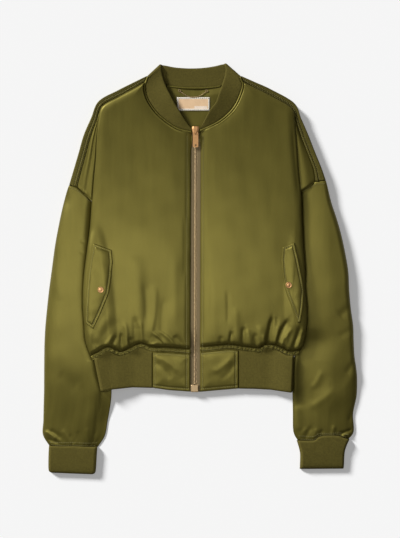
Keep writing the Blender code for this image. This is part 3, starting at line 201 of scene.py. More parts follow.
COLLAR_LOW = 2.8         # height of the middle of its back layer
COLLAR_SEAM = 13.2       # height of the middle of its seam over the fronts
COLLAR_FOLDS = (14.0, 10.0)                  # heights of the folds' tops, at the seam and the tip
BAND_BEND = KNIT * 1.1   # from the hem band's side to where it bends round
BAND_WIDE = 65.0         # length down the hem band that its rounded edges share
PUFF_REACH = 46.0        # length over which the band stands up towards its side
TAB_LINES = (5.0, 5.6, 6.0)                  # from a tab's seam, bottom and end to its stitches
FLAP_GROOVE = 4.4        # from a flap's edge to the groove of its stitches
FLAP_STITCHES = 4.2      # and to the stitches
PIPING = 4.75            # width of the turned edge below the collar
PIPING_HIGH = 5.2        # and its height
BINDING_HALF = 1.9       # half the width of the nape binding, and its height
BINDING_BASE = 6.0       # height of what it lies on
CHAIN_SAG = 10.0         # how far the hanger chain sags below its ends
LINK_PITCH = 1.45        # from one of its links to the next
ZIP_HALF = 4.3           # half the width of the closed teeth
THREAD_RADIUS = 0.42     # of the topstitching
RING_REACH = 3.55        # from a hanger ring's middle to the first link
FRONT_STEP = 2.6         # between the rows of points of a front or a sleeve
FRONT_COLUMNS = 126      # points across a front
HEM_ROWS = 26            # rows of points in the lowest stretch of a front
STRIP_COLUMNS = 31       # points across a shoulder strip
SLEEVE_COLUMNS = 66      # points across the top of a sleeve
TAB_POINTS = 38          # points across and down a hem tab
BACK_STEP = 3.2          # between the rows of points of the back
BACK_COLUMNS = 56        # points from the back's outline to its middle
BACK_HALVES = (("left", np.s_[:, :BACK_COLUMNS + 2]), ("right", np.s_[:, BACK_COLUMNS + 2:]))
ARMHOLE = 140.0          # Y above which no sleeve lies under the body
NAPE_LOW = 262.0         # Y above which the back's inner face dips to the nape
PLACKET = {"left": 7.7, "right": 4.9}        # from a front's zip edge to its topstitching
PLACKET_ENDS = (252.0, -150.0)               # Y of that topstitching's two ends
TAPE_ENDS = (257.0, -231.0)                  # Y of the zip tapes' two ends
TEETH_ENDS = (-217.0, 253.0)                 # Y of the lowest tooth, and a limit for the top one
ZIP_MIDDLE = ((-230.0, -9.5), (270.0, -8.4))  # Y and X of two points on the zip's middle line
HEM_SLOPE = {"left": 44.0, "right": 24.0}    # over which a front comes down to its hem
BACK_MIDDLE = {"left": -16.4, "right": 1.2}  # X of each half's edge in the middle of the back
BAND_LEVELS = (-172.4, -232.4)               # Y of the hem band's top and bottom at the sides
BAND_PUFF = {"left": 0.0, "right": 7.0}      # by which the band stands up at its side
# Y where the body's side begins to cover a sleeve, and the length over which it does.
SLEEVE_COVER = {"left": (-292.0, 60.0), "right": (-184.0, 44.0)}
# Where the uneven waves start: wadding and gathers of the fronts, then of the sleeves.
PHASES = {"left": (1.0, 0.6, 6.0, 1.1), "right": (4.0, 2.0, 9.0, 2.7)}
# Shares of the width where the points below a flat tube are, from its outer edge back.
SLEEVE_BELOW = (0.985, 0.93, 0.5, 0.07, 0.015)
CUFF_BELOW = (0.97, 0.75, 0.5, 0.25, 0.03)
# Shares of the way down the hem band where its points are, closer at its edges.
BAND_DOWN = (0.0, 0.03, 0.08, 0.16, 0.3, 0.45, 0.6, 0.75, 0.86, 0.93, 0.97, 1.0)

# Each front from its outer edge to its neck or zip edge, from the shoulder down to the hem.
FRONT_ROWS = {
    "left": (
        (-104.6, 353.6, -106.2, 350.0), (-126.0, 341.5, -106.5, 335.0),
        (-151.5, 327.5, -98.0, 313.0), (-184.0, 308.5, -78.0, 287.5),
        (-193.0, 280.0, -46.0, 264.5), (-196.8, 246.5, -16.4, 256.0),
        (-198.5, 207.0, -16.5, 224.0), (-202.0, 166.0, -16.6, 188.0),
        (-204.6, 128.4, -16.7, 150.0), (-206.0, 108.0, -16.8, 118.0),
        (-207.7, 84.0, -16.9, 88.0), (-211.0, 56.0, -17.0, 58.0), (-214.5, 26.0, -17.1, 27.0),
        (-218.7, -10.0, -17.2, -9.0), (-220.8, -44.0, -17.3, -43.0),
        (-220.6, -76.0, -17.4, -75.0), (-218.2, -106.0, -17.5, -105.0),
        (-215.6, -136.0, -17.6, -132.0), (-203.3, -170.8, -17.7, -160.0)),
    "right": (
        (82.0, 353.6, 83.8, 350.2), (104.0, 342.8, 81.0, 335.0), (130.0, 329.8, 71.0, 311.0),
        (174.0, 304.0, 57.0, 292.6), (180.0, 279.0, 34.2, 274.6), (182.5, 246.0, 1.2, 259.0),
        (185.0, 212.0, 1.1, 228.0), (187.5, 178.0, 1.0, 196.0), (191.5, 146.0, 0.9, 160.0),
        (192.6, 124.0, 0.8, 126.0), (193.2, 96.0, 0.7, 96.0), (195.0, 66.0, 0.6, 66.0),
        (197.0, 34.0, 0.5, 34.0), (199.3, -2.0, 0.4, -2.0), (199.4, -38.0, 0.3, -38.0),
        (202.6, -72.0, 0.2, -72.0), (202.4, -104.0, 0.1, -103.0), (198.0, -134.0, 0.0, -130.0),
        (186.0, -162.1, -0.1, -156.0)),
}
NECK_ROWS = 6            # how many of those rows end on the neck seam

# How much of a sleeve lies under the body's side at a height Y.
TUCK = {
    "left": ((-232.4, 20.0), (-172.4, 31.0), (-170.8, 34.0), (-136.0, 42.5), (-106.0, 44.0),
             (-76.0, 44.0), (-44.0, 41.0), (-10.0, 35.0), (26.0, 26.0), (56.0, 18.0),
             (84.0, 11.0), (108.0, 6.0), (128.0, 0.0)),
    "right": ((-172.4, 0.0), (-162.0, 2.5), (-134.0, 10.0), (-104.0, 22.0), (-72.0, 26.0),
              (-38.0, 24.0), (-2.0, 21.0), (34.0, 17.0), (66.0, 13.0), (96.0, 9.0),
              (124.0, 6.0), (146.0, 0.0)),
}

# Shoulders: the outline, and the inner edge of the strip, from the neck down to the armhole.
STRIP_ROWS = {
    "left": ((-100.7, 364.8, -103.5, 356.0), (-127.0, 351.8, -126.0, 341.5),
             (-154.5, 338.0, -151.5, 327.5), (-191.5, 317.1, -186.0, 309.5),
             (-206.0, 285.0, -196.0, 281.0), (-219.8, 252.9, -207.5, 248.8),
             (-229.5, 219.0, -216.5, 215.3), (-239.5, 185.0, -226.0, 180.5),
             (-247.2, 159.0, -232.9, 154.7)),
    "right": ((77.9, 364.8, 80.8, 356.0), (105.0, 352.8, 104.0, 342.8),
              (133.0, 340.1, 130.0, 329.8), (177.8, 313.9, 173.0, 305.0),
              (191.5, 284.0, 182.0, 279.5), (205.0, 252.9, 192.0, 248.5),
              (217.5, 221.0, 204.0, 217.0), (229.3, 192.0, 214.5, 188.5),
              (237.7, 167.8, 218.1, 165.7)),
}
# Shares of a strip's width from the outline, and the heights of its top and base there.
STRIP_TOP = ((0.0, 0.12, 0.6, 1.0), (14.6, 15.6, 14.7, 15.2))
STRIP_BASE = ((0.0, 0.35, 0.7, 1.0), (8.3, 10.3, 11.1, 11.3))
STRIP_GROOVES = (0.62, 0.90)                 # where its two rows of stitches lie
NAPE = {"left": (-99.8, 364.6), "right": (77.0, 364.6)}
NAPE_LINE = ((-99.8, 364.6), (-95.0, 358.8), (-77.6, 350.8), (-57.2, 346.2), (-36.8, 343.7),
             (-16.4, 342.7), (1.2, 342.8), (19.7, 343.8), (38.3, 346.3), (56.9, 350.8),
             (72.4, 358.8), (77.0, 364.6))
# Y and height of the back's inner face in the middle, from the nape down.
NAPE_MIDDLE = ((342.7, 5.0), (325.0, 8.6), (305.0, 9.0), (287.0, 10.2), (270.0, 11.0))

# Sleeves: inner edge, body edge, middle and outer edge, and the height of the crown.
SLEEVE_ROWS = {
    "left": (
        (-204.9, 127.9, -212.0, 134.5, -233.2, 154.2, -247.5, 158.5, 15.2),
        (-200.0, 108.5, -206.0, 108.0, -230.8, 122.5, -255.5, 137.0, 16.2),
        (-196.7, 84.2, -207.7, 84.0, -234.8, 98.0, -262.0, 112.0, 17.2),
        (-193.0, 56.2, -211.0, 56.0, -240.2, 66.0, -269.5, 76.0, 18.0),
        (-188.5, 26.1, -214.5, 26.0, -245.0, 34.0, -275.6, 42.0, 18.0),
        (-183.7, -9.8, -218.7, -10.0, -250.1, -6.0, -281.5, -2.0, 18.0),
        (-179.8, -43.8, -220.8, -44.0, -253.8, -43.0, -286.8, -42.0, 18.0),
        (-176.6, -75.8, -220.6, -76.0, -255.6, -76.5, -290.6, -77.0, 18.0),
        (-174.2, -105.8, -218.2, -106.0, -255.9, -107.5, -293.6, -109.0, 18.0),
        (-173.1, -135.1, -215.6, -136.0, -255.4, -137.5, -295.2, -139.0, 18.0),
        (-169.3, -168.8, -203.3, -170.8, -249.5, -170.9, -295.8, -171.0, 18.0),
        (-169.5, -202.0, -193.5, -202.0, -244.8, -203.0, -296.0, -204.0, 16.6),
        (-167.6, -231.5, -187.5, -231.5, -241.9, -232.4, -296.2, -233.3, 14.6),
        (-169.7, -257.0, -190.0, -257.0, -243.5, -259.5, -296.9, -262.0, 12.6),
        (-175.2, -287.9, -194.0, -287.9, -245.7, -288.0, -297.4, -288.0, 11.0),
        (-180.5, -316.0, -198.0, -316.0, -248.0, -315.0, -298.3, -314.1, 9.8),
        (-193.8, -337.1, -208.0, -337.0, -247.0, -336.0, -286.3, -334.8, 9.4)),
    "right": (
        (191.8, 147.6, 198.0, 152.0, 218.4, 165.1, 238.0, 167.2, 15.2),
        (186.6, 124.1, 192.6, 124.0, 221.0, 125.0, 249.5, 126.0, 16.6),
        (184.2, 96.0, 193.2, 96.0, 225.9, 97.5, 258.5, 99.0, 16.6),
        (182.0, 66.0, 195.0, 66.0, 231.2, 67.0, 267.5, 68.0, 16.6),
        (180.0, 34.0, 197.0, 34.0, 236.0, 34.0, 275.0, 34.0, 16.6),
        (178.3, -2.0, 199.3, -2.0, 240.4, -3.0, 281.5, -4.0, 16.6),
        (175.4, -38.0, 199.4, -38.0, 241.5, -40.0, 283.5, -42.0, 16.6),
        (176.6, -72.0, 202.6, -72.0, 244.5, -74.0, 286.5, -76.0, 16.2),
        (180.4, -103.9, 202.4, -104.0, 246.6, -105.5, 290.8, -107.0, 15.6),
        (188.0, -133.8, 198.0, -134.0, 244.9, -135.5, 291.8, -137.0, 14.4),
        (180.5, -162.0, 186.0, -162.1, 239.6, -163.6, 293.3, -165.0, 13.2),
        (174.8, -184.0, 199.0, -184.0, 247.8, -185.5, 296.5, -187.0, 12.4),
        (174.6, -206.0, 198.0, -206.0, 247.7, -206.5, 298.3, -207.0, 11.8),
        (175.6, -236.0, 196.0, -236.0, 246.7, -238.0, 297.4, -240.0, 10.8),
        (176.3, -272.0, 195.0, -272.0, 242.9, -273.4, 290.7, -274.7, 9.6),
        (177.3, -308.0, 195.0, -308.0, 243.4, -308.0, 291.8, -308.0, 8.8),
        (186.0, -325.5, 199.0, -325.4, 240.3, -320.5, 281.5, -323.0, 8.6)),
}

# Cuffs: inner and outer edge, and the height of the crown, from the seam down.
CUFF_ROWS = {
    "left": ((-194.6, -337.6, -286.6, -335.4, 11.0), (-196.0, -356.0, -287.6, -353.0, 11.0),
             (-198.0, -383.8, -287.5, -380.5, 10.0), (-202.4, -389.3, -283.1, -386.1, 6.0)),
    "right": ((183.5, -326.0, 284.0, -323.5, 11.0), (187.8, -340.0, 277.5, -338.0, 11.0),
              (190.0, -352.0, 274.5, -350.0, 11.0), (189.6, -373.0, 273.4, -372.0, 10.0),
              (189.2, -379.1, 272.5, -378.5, 6.0)),
}

# Where each sleeve is gathered into its cuff.
CUFF_SEAM = {
    "left": ((-292.0, -335.0), (-286.6, -335.2), (-262.0, -336.6), (-240.0, -336.0),
             (-215.0, -337.4), (-190.0, -337.4)),
    "right": ((180.0, -326.0), (205.0, -326.4), (217.0, -325.4), (226.0, -318.4),
              (240.0, -316.2), (262.0, -316.6), (271.0, -320.0), (282.0, -323.6)),
}

# The hem band's seam and its bottom edge.
HEM_SEAM = {
    "left": ((-203.3, -170.8), (-188.0, -163.0), (-172.9, -155.6), (-151.1, -164.4),
             (-131.5, -157.7), (-111.7, -148.9), (-94.2, -155.6), (-61.6, -156.6),
             (-17.7, -160.0)),
    "right": ((-0.1, -156.0), (53.0, -151.0), (73.7, -153.3), (111.9, -157.7),
              (125.0, -151.1), (144.6, -153.3), (166.4, -163.4), (186.0, -162.1)),
}
HEM_BOTTOM = ((-187.5, -232.4), (-164.2, -227.6), (-127.1, -224.2), (-89.9, -225.3),
              (-59.5, -229.7), (-20.1, -232.4), (-0.4, -232.9), (35.5, -229.7),
              (73.7, -226.5), (103.2, -227.1), (133.8, -228.6), (175.2, -234.1))
BAND_SIDE = {"left": (-200.3, -187.5), "right": (178.4, 175.2)}     # top and bottom
TAB_END = {"left": -91.0, "right": 73.7}
BODY_WIDE = {"left": -17.7, "right": -0.1}    # X of each tab's edge beside the zip

# The collar's free edge from the zip up, and its folds' two ends at the neck points.
COLLAR_FREE = {
    "left": ((-18.8, 268.2), (-34.2, 290.7), (-49.4, 315.4), (-57.0, 330.6), (-64.6, 345.8),
             (-70.3, 362.9), (-73.0, 376.0)),
    "right": ((2.6, 270.0), (18.6, 299.8), (29.3, 313.5), (36.0, 332.0), (41.8, 348.3),
              (46.0, 362.0), (48.5, 376.5)),
}
COLLAR_POINT = {"left": ((-100.7, 364.4), (-76.0, 387.6)),
                "right": ((77.9, 364.4), (49.4, 389.5))}
# Seam and free edge of the collar's back layer.
COLLAR_BACK = ((-89.0, 354.4, -66.0, 386.0), (-64.6, 348.2, -48.0, 382.6),
               (-38.0, 343.9, -30.0, 381.0), (-12.4, 342.9, -12.4, 380.6),
               (16.0, 343.7, 8.0, 381.8), (41.8, 347.2, 26.0, 384.4), (66.0, 354.2, 41.0, 388.0))

# Pocket flaps: outer and inner edge, from the top down.
FLAP = {
    "left": ((-200.5, 48.5, -166.5, 36.0), (-205.8, 22.0, -164.2, 14.0),
             (-210.5, -8.0, -166.5, -16.0), (-213.0, -40.0, -170.6, -44.3),
             (-215.0, -72.0, -184.5, -79.0), (-215.8, -101.0, -200.0, -112.5)),
    "right": ((177.3, 49.4, 155.4, 40.7), (184.5, 20.0, 153.2, 17.0),
              (190.5, -10.0, 155.5, -12.0), (196.3, -40.0, 159.8, -37.8),
              (193.0, -74.0, 172.6, -72.0), (188.6, -101.0, 183.4, -101.0)),
}
SNAP = {"left": (-186.0, -39.0), "right": (166.4, -30.2)}
SNAP_REST = 4.5            # circle round a snap whose highest spot on the front carries it
SNAP_RISE = 4.9            # from there to the cap's rim, over the flap
SNAP_SUNK = 2.2            # from the rim down to the cap's floor, in the flap
# A snap's cap, as distances from its middle and heights, from the rim to the middle.
SNAP_PROFILE = ((5.6, 0.0), (5.6, 0.9), (5.1, 1.5), (4.3, 1.15), (3.5, 0.9), (2.7, 1.3),
                (1.4, 1.8), (0.05, 1.95))
# A zip tooth from its root in the tape to its tip: X, share of half the pitch, height.
TOOTH = ((-2.0, 0.62, 0.6), (-0.8, 0.62, 1.3), (0.7, 0.55, 1.7), (1.3, 0.85, 1.6))
LABEL = ((-43.5, 299.6), (18.6, 325.0))
LABEL_BORDER = (3.2, 3.6)  # width of its pale border at the sides and top, and at the bottom
LABEL_PANEL = (33.0, 5.0, 4.0, 8.5)  # paler panel: from the left, right and bottom, and its top
RING = {"left": (-38.6, 337.6), "right": (12.7, 337.2)}
BINDING = (-63.5, 39.5)    # X of the nape binding's ends

# Folds of the fronts: x0, y0, x1, y1, bow, width0, width1, height, lean. A bell across a bowed
# line, a trough where the height is below zero; lean makes one flank steeper.
FRONT_FOLDS = {
    "left": (
        (-199.0, 262.0, -206.0, 118.0, 0, 9, 7, -3.2, 0), (-119, 26, -117, -112, 2, 14, 12, 2.8, 0),
        (-104.0, -26, -101, -100, 2, 8, 6, -1.0, 0.2),
        (-86.0, -28, -95, -130, 4, 9, 6, 1.7, -0.2), (-66.0, -52, -72, -140, -2, 9, 6, -1.2, 0.2),
        (-123.5, -88, -124.5, -154, 1, 5, 3.6, -1.8, 0), (-133, -128, -129, -158, 0, 4, 3.4, -2.8, 0.3),
        (-112, -96, -108, -154, 0, 4, 4, 1.8, 0), (-142, -98, -138, -156, 2, 5, 4, 2.2, 0),
        (-208, -156, -150, -96, 5, 10, 8, -0.5, 0.2), (-196, -140, -172, -84, 2, 9, 10, 1.6, 0),
        (-186, -166, -160, -122, 3, 4.5, 5, 1.5, -0.3), (-173, -164, -158, -124, 0, 3, 4, -2.6, 0),
        (-90, -118, -60, -154, 3, 2.8, 2.4, 1.9, -0.4), (-78, -116, -45, -147, 3, 2.8, 2.4, 1.5, -0.4),
        (-84, -126, -55, -156, 0, 2.6, 2.2, -2.0, 0), (-113, -137, -80, -140, -4, 2.4, 2.4, 1.8, 0),
        (-112, -144, -82, -149, 2, 2.6, 2.6, -1.8, 0), (-50, -126, -30, -150, 2, 6, 5, -1.6, 0),
        (-29, 100, -29, -20, 1, 3.5, 4, -0.8, 0), (-44, 30, -46, -110, -3, 10, 8, 1.0, 0),
        (-205, -112, -209, -166, 0, 5, 4, 1.4, 0), (-150, -158, -148, -120, 0, 3, 3, -2.4, 0)),
    "right": (
        (181.0, 268.0, 190.5, 140.0, 0, 9, 7, -3.2, 0), (24, -10, 26, -146, 0, 9, 8, 1.0, 0),
        (51, -40, 52, -104, 1, 4.5, 4, -0.9, 0.2), (60, -116, 52, -150, 1, 3.4, 3, -2.4, 0),
        (67, -70, 70, -146, 0, 7, 6, 1.2, 0), (82, -108, 80, -154, 0, 4, 4, -2.4, 0),
        (89, -112, 94, -152, 1, 5, 5, 1.4, 0), (136, -90, 127, -153, -1, 3.5, 5.5, -4.8, 0),
        (144, -90, 146, -110, 0, 4, 4, -0.9, 0), (149, -100, 138, -152, 1, 4.4, 4.0, 1.7, 0),
        (168, -94, 144, -150, -4, 4.5, 4, -3.2, 0.2), (173, -110, 150, -158, -2, 3.8, 3.8, 1.9, 0),
        (189, -106, 171, -160, 1, 4, 3.6, -3.0, 0), (194, -112, 181, -160, 1, 4, 4, 1.5, 0),
        (112, -104, 116, -154, 1, 7, 6, 1.4, 0), (104, -120, 103, -156, 0, 4, 4, -1.8, 0),
        (120, -122, 121, -152, 0, 3, 3, 1.6, 0), (16, 40, 14, -120, 0, 6, 5, -0.5, 0),
        (40, -126, 37, -150, 0, 4, 4, -1.4, 0), (160, -130, 158, -158, 0, 3, 3, -1.6, 0)),
}
# Broad hollows and swells of the wadding: x, y, reach_x, reach_y, height.
FRONT_SWELLS = {
    "left": ((-110, 235, 85, 70, -2.2), (-115, 80, 60, 42, 1.2), (-74, -52, 52, 48, -3.0),
             (-70, 120, 60, 60, -1.6), (-150, 40, 50, 60, 1.4), (-40, -40, 30, 70, 1.2)),
    "right": ((95, 235, 85, 70, -2.2), (90, -62, 80, 55, 1.2), (50, 110, 60, 60, -1.4),
              (140, 60, 45, 60, 1.2), (30, -40, 30, 70, 1.2)),
}
SLEEVE_FOLDS = {
    "left": (
        (-192, -236, -200, -322, 0, 4, 4, -1.0, 0.3), (-226, 53, -214, 50, 0, 2.6, 3, -0.9, 0),
        (-228, 33, -217, 30, 0, 2.6, 3, -0.8, 0), (-296, -308, -272, -324, 3, 3.4, 3, 2.2, 0),
        (-292, -322, -262, -334, 2, 3, 3, -2.0, 0), (-285, -306, -262, -322, 2, 4, 4, -1.6, 0),
        (-262, -304, -244, -330, 0, 5, 4, 0.8, 0), (-232, -306, -226, -334, 0, 4, 3.4, -0.7, 0),
        (-214, -300, -212, -334, 0, 4, 4, 0.7, 0), (-200, -306, -204, -334, 0, 3, 3, -0.8, 0),
        (-270, -200, -230, -226, 4, 13, 13, -0.6, 0), (-276, 60, -262, -60, -4, 10, 12, 1.6, 0),
        (-246, -312, -240, -335, 0, 3, 3, -0.8, 0)),
    "right": (
        (211, -228, 231, -192, -2, 5, 5, 0.8, 0),
        (222, -234, 244, -196, -2, 7, 7, -0.4, 0), (206, -264, 254, -226, -3, 7, 7, 0.9, 0),
        (284, -292, 298, -262, 2, 6, 5, -1.6, 0), (214, -252, 292, -236, 0, 24, 24, 1.6, 0),
        (184, -258, 187, -310, 0, 10, 9, 1.6, 0),
        (180, -150, 178, -244, 0, 9, 9, 3.4, 0), (276, -200, 297, -172, 2, 6, 6, -1.1, 0),
        (262, -128, 291, -112, 0, 7, 6, -0.7, 0), (190, -318, 202, -302, 0, 3.4, 4, 0.9, 0),
        (198, -324, 212, -298, 0, 3, 4, -1.2, 0), (214, -322, 222, -302, 0, 3, 4, 1.0, 0),
        (228, -317, 232, -304, 0, 3.4, 3, -1.6, 0), (268, -317, 286, -311, 0, 2.6, 2.6, 1.6, 0),
        (262, -314, 290, -304, 0, 3, 3, -2.0, 0), (250, -318, 254, -296, 0, 3, 4, 1.4, 0),
        (286, -70, 262, -90, 0, 8, 8, -1.4, 0)),
}

# Cut of what shows of each sheet, all round on a tube: its two sides and its flat area, in metres.
# A helper script measured the areas on the finished meshes and wrote this table. Most sides were
# measured too; those of the cuffs, hem band, tabs and collar are that area over a real height.
SHEETS = {
    "back_panel": (0.4845, 0.5493, 0.21562),
    "left_front_panel": (0.2075, 0.5262, 0.09324),
    "left_drop_shoulder": (0.0356, 0.1811, 0.00415),
    "right_front_panel": (0.205, 0.5193, 0.09407),
    "right_drop_shoulder": (0.0343, 0.159, 0.00314),
    "left_shoulder": (0.0186, 0.2524, 0.00463),
    "right_shoulder": (0.0187, 0.2535, 0.00469),
    "left_sleeve": (0.1999, 0.4959, 0.09895),
    "right_sleeve": (0.1937, 0.4926, 0.09520),
    "left_cuff": (0.178, 0.058, 0.01031),
    "right_cuff": (0.192, 0.058, 0.01111),
    "hem_band": (0.635, 0.07, 0.04443),
    "left_hem_tab": (0.082, 0.07, 0.00568),
    "right_hem_tab": (0.087, 0.07, 0.00606),
    "rib_collar": (0.349, 0.048, 0.01675),
    "left_neck_piping": (0.0105, 0.1369, 0.00137),
    "right_neck_piping": (0.0105, 0.1299, 0.00128),
    "left_pocket_flap": (0.0453, 0.1591, 0.00621),
    "right_pocket_flap": (0.0362, 0.1506, 0.00453),
    "left_zip_tape": (0.0105, 0.5008, 0.00404),
    "right_zip_tape": (0.0105, 0.4993, 0.00465),
    "nape_binding": (0.0105, 0.1031, 0.00054),
    "blank_label": (0.0256, 0.0627, 0.00160),
}


# ---------------------------------------------------------------- curves and grids

def lengths(vectors):
    """Length of each vector."""
    return np.sqrt((vectors ** 2).sum(-1))


def distances(steps):
    """How far along a line each of its points is, from the lengths of its steps."""
    return np.concatenate([[0.0], np.cumsum(steps)])


def at_spots(spots, along, rows):
    """Rows of numbers read at spots along them, each column on its own."""
    return np.stack([np.interp(spots, along, column) for column in rows.T], axis=1)


def read_at(pairs, spot):
    """The second number of rows of pairs, read at a spot among the first ones."""
    return np.interp(spot, *np.asarray(pairs, float).T)


def smooth(rows, step, key=(0, 1)):
    """A Catmull-Rom curve through rows of numbers, at even steps along two of its columns."""
    rows = np.asarray(rows, float)
    along = distances(np.hypot(*np.diff(rows[:, list(key)], axis=0).T))
    count = max(3, int(round(along[-1] / step)) + 1)
    spot = np.interp(np.linspace(0, along[-1], count), along, np.arange(len(rows)))
    k = np.clip(spot.astype(int), 0, len(rows) - 2)
    t = (spot - k)[:, None]
    longer = np.concatenate([2 * rows[:1] - rows[1:2], rows, 2 * rows[-1:] - rows[-2:-1]])
    a, b, c, d = (longer[k + i] for i in range(4))
    return 0.5 * (2 * b + (c - a) * t + (2 * a - 5 * b + 4 * c - d) * t ** 2
                  + (3 * b - a - 3 * c + d) * t ** 3)


def even(line, step=None, count=None):
    """Points at even steps along a line of points, keeping both ends."""
    line = np.asarray(line, float)
    along = distances(lengths(np.diff(line, axis=0)))
    if count is None:
        count = max(2, int(round(along[-1] / step)) + 1)
    return at_spots(np.linspace(0, along[-1], count), along, line)


def even_rows(rows, step):
    """Rows spread evenly by the larger of the steps of their two ends."""
    along = distances(np.maximum(*(lengths(np.diff(rows[:, k:k + 2], axis=0)) for k in (0, 2))))
    return at_spots(np.linspace(0, along[-1], int(round(along[-1] / step)) + 1), along, rows)


def ruled_at(a, b, share):
    """Points at shares of the straight ways from the points a to the points b."""
    return a[:, None, :] * (1 - share[..., None]) + b[:, None, :] * share[..., None]


def ruled(a, b, count):
    """A grid of straight rows from the points a to the points b."""
    return ruled_at(a, b, np.linspace(0, 1, count)[None, :])


def flat_top(distance, reach):
    """A parabola, from 0 at an edge to 1, where it is level, at reach from it."""
    return 1 - (1 - np.clip(distance / reach, 0, 1)) ** 2


def round_up(distance, reach):
    """A quarter circle, from 0 at an edge to 1 at reach from it."""
    return np.sqrt(np.maximum(flat_top(distance, reach), 0))


def ease(value):
    """A soft step from 0 to 1: the square of a value times three less twice the value."""
    value = np.clip(value, 0, 1)
    return value * value * (3 - 2 * value)


def bell(gap, width):
    """A bell, 1 where the gap is nought: e to the power of minus the square of gap by width."""
    return np.exp(-(gap / width) ** 2)


def away(plan, line):
    """Distance of each plan point from a line of points, and how far along it is nearest."""
    line = np.asarray(line, float)
    start, run = line[:-1], np.diff(line, axis=0)
    length = lengths(run)
    best = np.full(plan.shape[:-1], 1e9)
    where = np.zeros(plan.shape[:-1])
    for p, r, n, s in zip(start, run, length, distances(length)):
        t = np.clip(((plan - p) @ r) / max(n * n, 1e-9), 0, 1)
        gap = np.hypot(plan[..., 0] - p[0] - t * r[0], plan[..., 1] - p[1] - t * r[1])
        where = np.where(gap < best, s + t * n, where)
        best = np.minimum(best, gap)
    return best, where


def fold_height(plan, folds):
    """Sum of bells across bowed lines, each faded out at both of its ends."""
    height = np.zeros(plan.shape[:-1])
    for x0, y0, x1, y1, bow, w0, w1, depth, lean in folds:
        run = np.array([x1 - x0, y1 - y0], float)
        length = np.hypot(*run)
        run /= length
        t = ((plan[..., 0] - x0) * run[0] + (plan[..., 1] - y0) * run[1]) / length
        gap = (plan[..., 1] - y0) * run[0] - (plan[..., 0] - x0) * run[1]
        inside = np.clip(t, 0, 1)
        gap = gap - bow * 4 * inside * (1 - inside)
        width = (w0 + (w1 - w0) * inside) * (1 + lean * np.tanh(gap / 3))
        beyond = (t - inside) * length
        fade = ease(0.25 + 3.5 * inside) * ease(0.25 + 3.5 * (1 - inside))
        height += depth * fade * np.exp(-(gap / width) ** 2 - (beyond / (1.5 * width)) ** 2)
    return height


def swell_height(plan, swells):
    """Sum of broad round hollows and swells: bells of their distance along X and along Y."""
    return sum(h * np.exp(-((plan[..., 0] - x) / rx) ** 2 - ((plan[..., 1] - y) / ry) ** 2)
               for x, y, rx, ry, h in swells)


def gathers(along, distance, reach, height, phase):
    """Uneven waves along a seam, four sines of unlike lengths, which die away from it."""
    wave = (np.sin(along * 0.56 + phase) + 0.8 * np.sin(along * 0.91 + 2.1 * phase)
            + 0.6 * np.sin(along * 1.37 + 0.7 * phase) + 0.5 * np.sin(along * 0.23 + 3 * phase))
    swing = 0.65 + 0.35 * np.sin(along * 0.11 + 1.3 * phase)
    return height * swing * wave / 2.4 * np.exp(-distance / reach)


def mottle(plan, size, phase):
    """Soft unevenness of the wadding: four crossed waves of about that size."""
    x, y = plan[..., 0] / size, plan[..., 1] / size
    return (np.sin(x + 1.7 * y + phase) + np.sin(1.9 * x - 0.8 * y + 2 * phase)
            + np.sin(-1.1 * x + 2.3 * y + 3 * phase) + np.sin(2.7 * x + 0.6 * y + 4 * phase)) / 4


def lift_points(plan, height):
    """Plan points with their heights."""
    return np.concatenate([plan, np.broadcast_to(height, plan.shape[:-1])[..., None]], axis=-1)


def upright(count):
    """A direction straight up for each of so many points."""
    return np.tile((0.0, 0.0, 1.0), (count, 1))


# ---------------------------------------------------------------- meshes

def squares(rows, columns, wrap=False):
    """Corner numbers of a grid's squares, and those of its pattern, which never wraps."""
    r, c = np.meshgrid(np.arange(rows - 1), np.arange(columns - (0 if wrap else 1)),
                       indexing="ij")
    r, c = r.ravel(), c.ravel()
    n = (c + 1) % columns
    wide = columns + (1 if wrap else 0)
    spots = np.stack([r * columns + c, r * columns + n, (r + 1) * columns + n,
                      (r + 1) * columns + c], axis=1)
    pattern = np.stack([r * wide + c, r * wide + c + 1, (r + 1) * wide + c + 1,
                        (r + 1) * wide + c], axis=1)
    return spots, pattern


def wall(upper, lower, uv):
    """A closed wall between two grids of the same shape: two faces and the rim round them."""
    rows, columns = upper.shape[:2]
    size = rows * columns
    spots, pattern = squares(rows, columns)
    grid = np.arange(size).reshape(rows, columns)
    loop = np.concatenate([grid[0, :-1], grid[:-1, -1], grid[-1, :0:-1], grid[:0:-1, 0]])
    after = np.roll(loop, -1)
    rim = np.stack([loop, loop + size, after + size, after], axis=1)
    flat = uv.reshape(-1, 2)
    vertices = np.concatenate([upper.reshape(-1, 3), lower.reshape(-1, 3)])
    faces = np.concatenate([spots, (spots + size)[:, ::-1], rim])
    corners = np.concatenate([flat[pattern], flat[pattern][:, ::-1],
                              flat[np.stack([loop, loop, after, after], axis=1)]])
    return vertices, faces, corners


def padded(plan, top, base):
    """A wall over plan points between two heights, whose pattern lies as the plan does."""
    return wall(lift_points(plan, top), lift_points(plan, base), plan * MM)


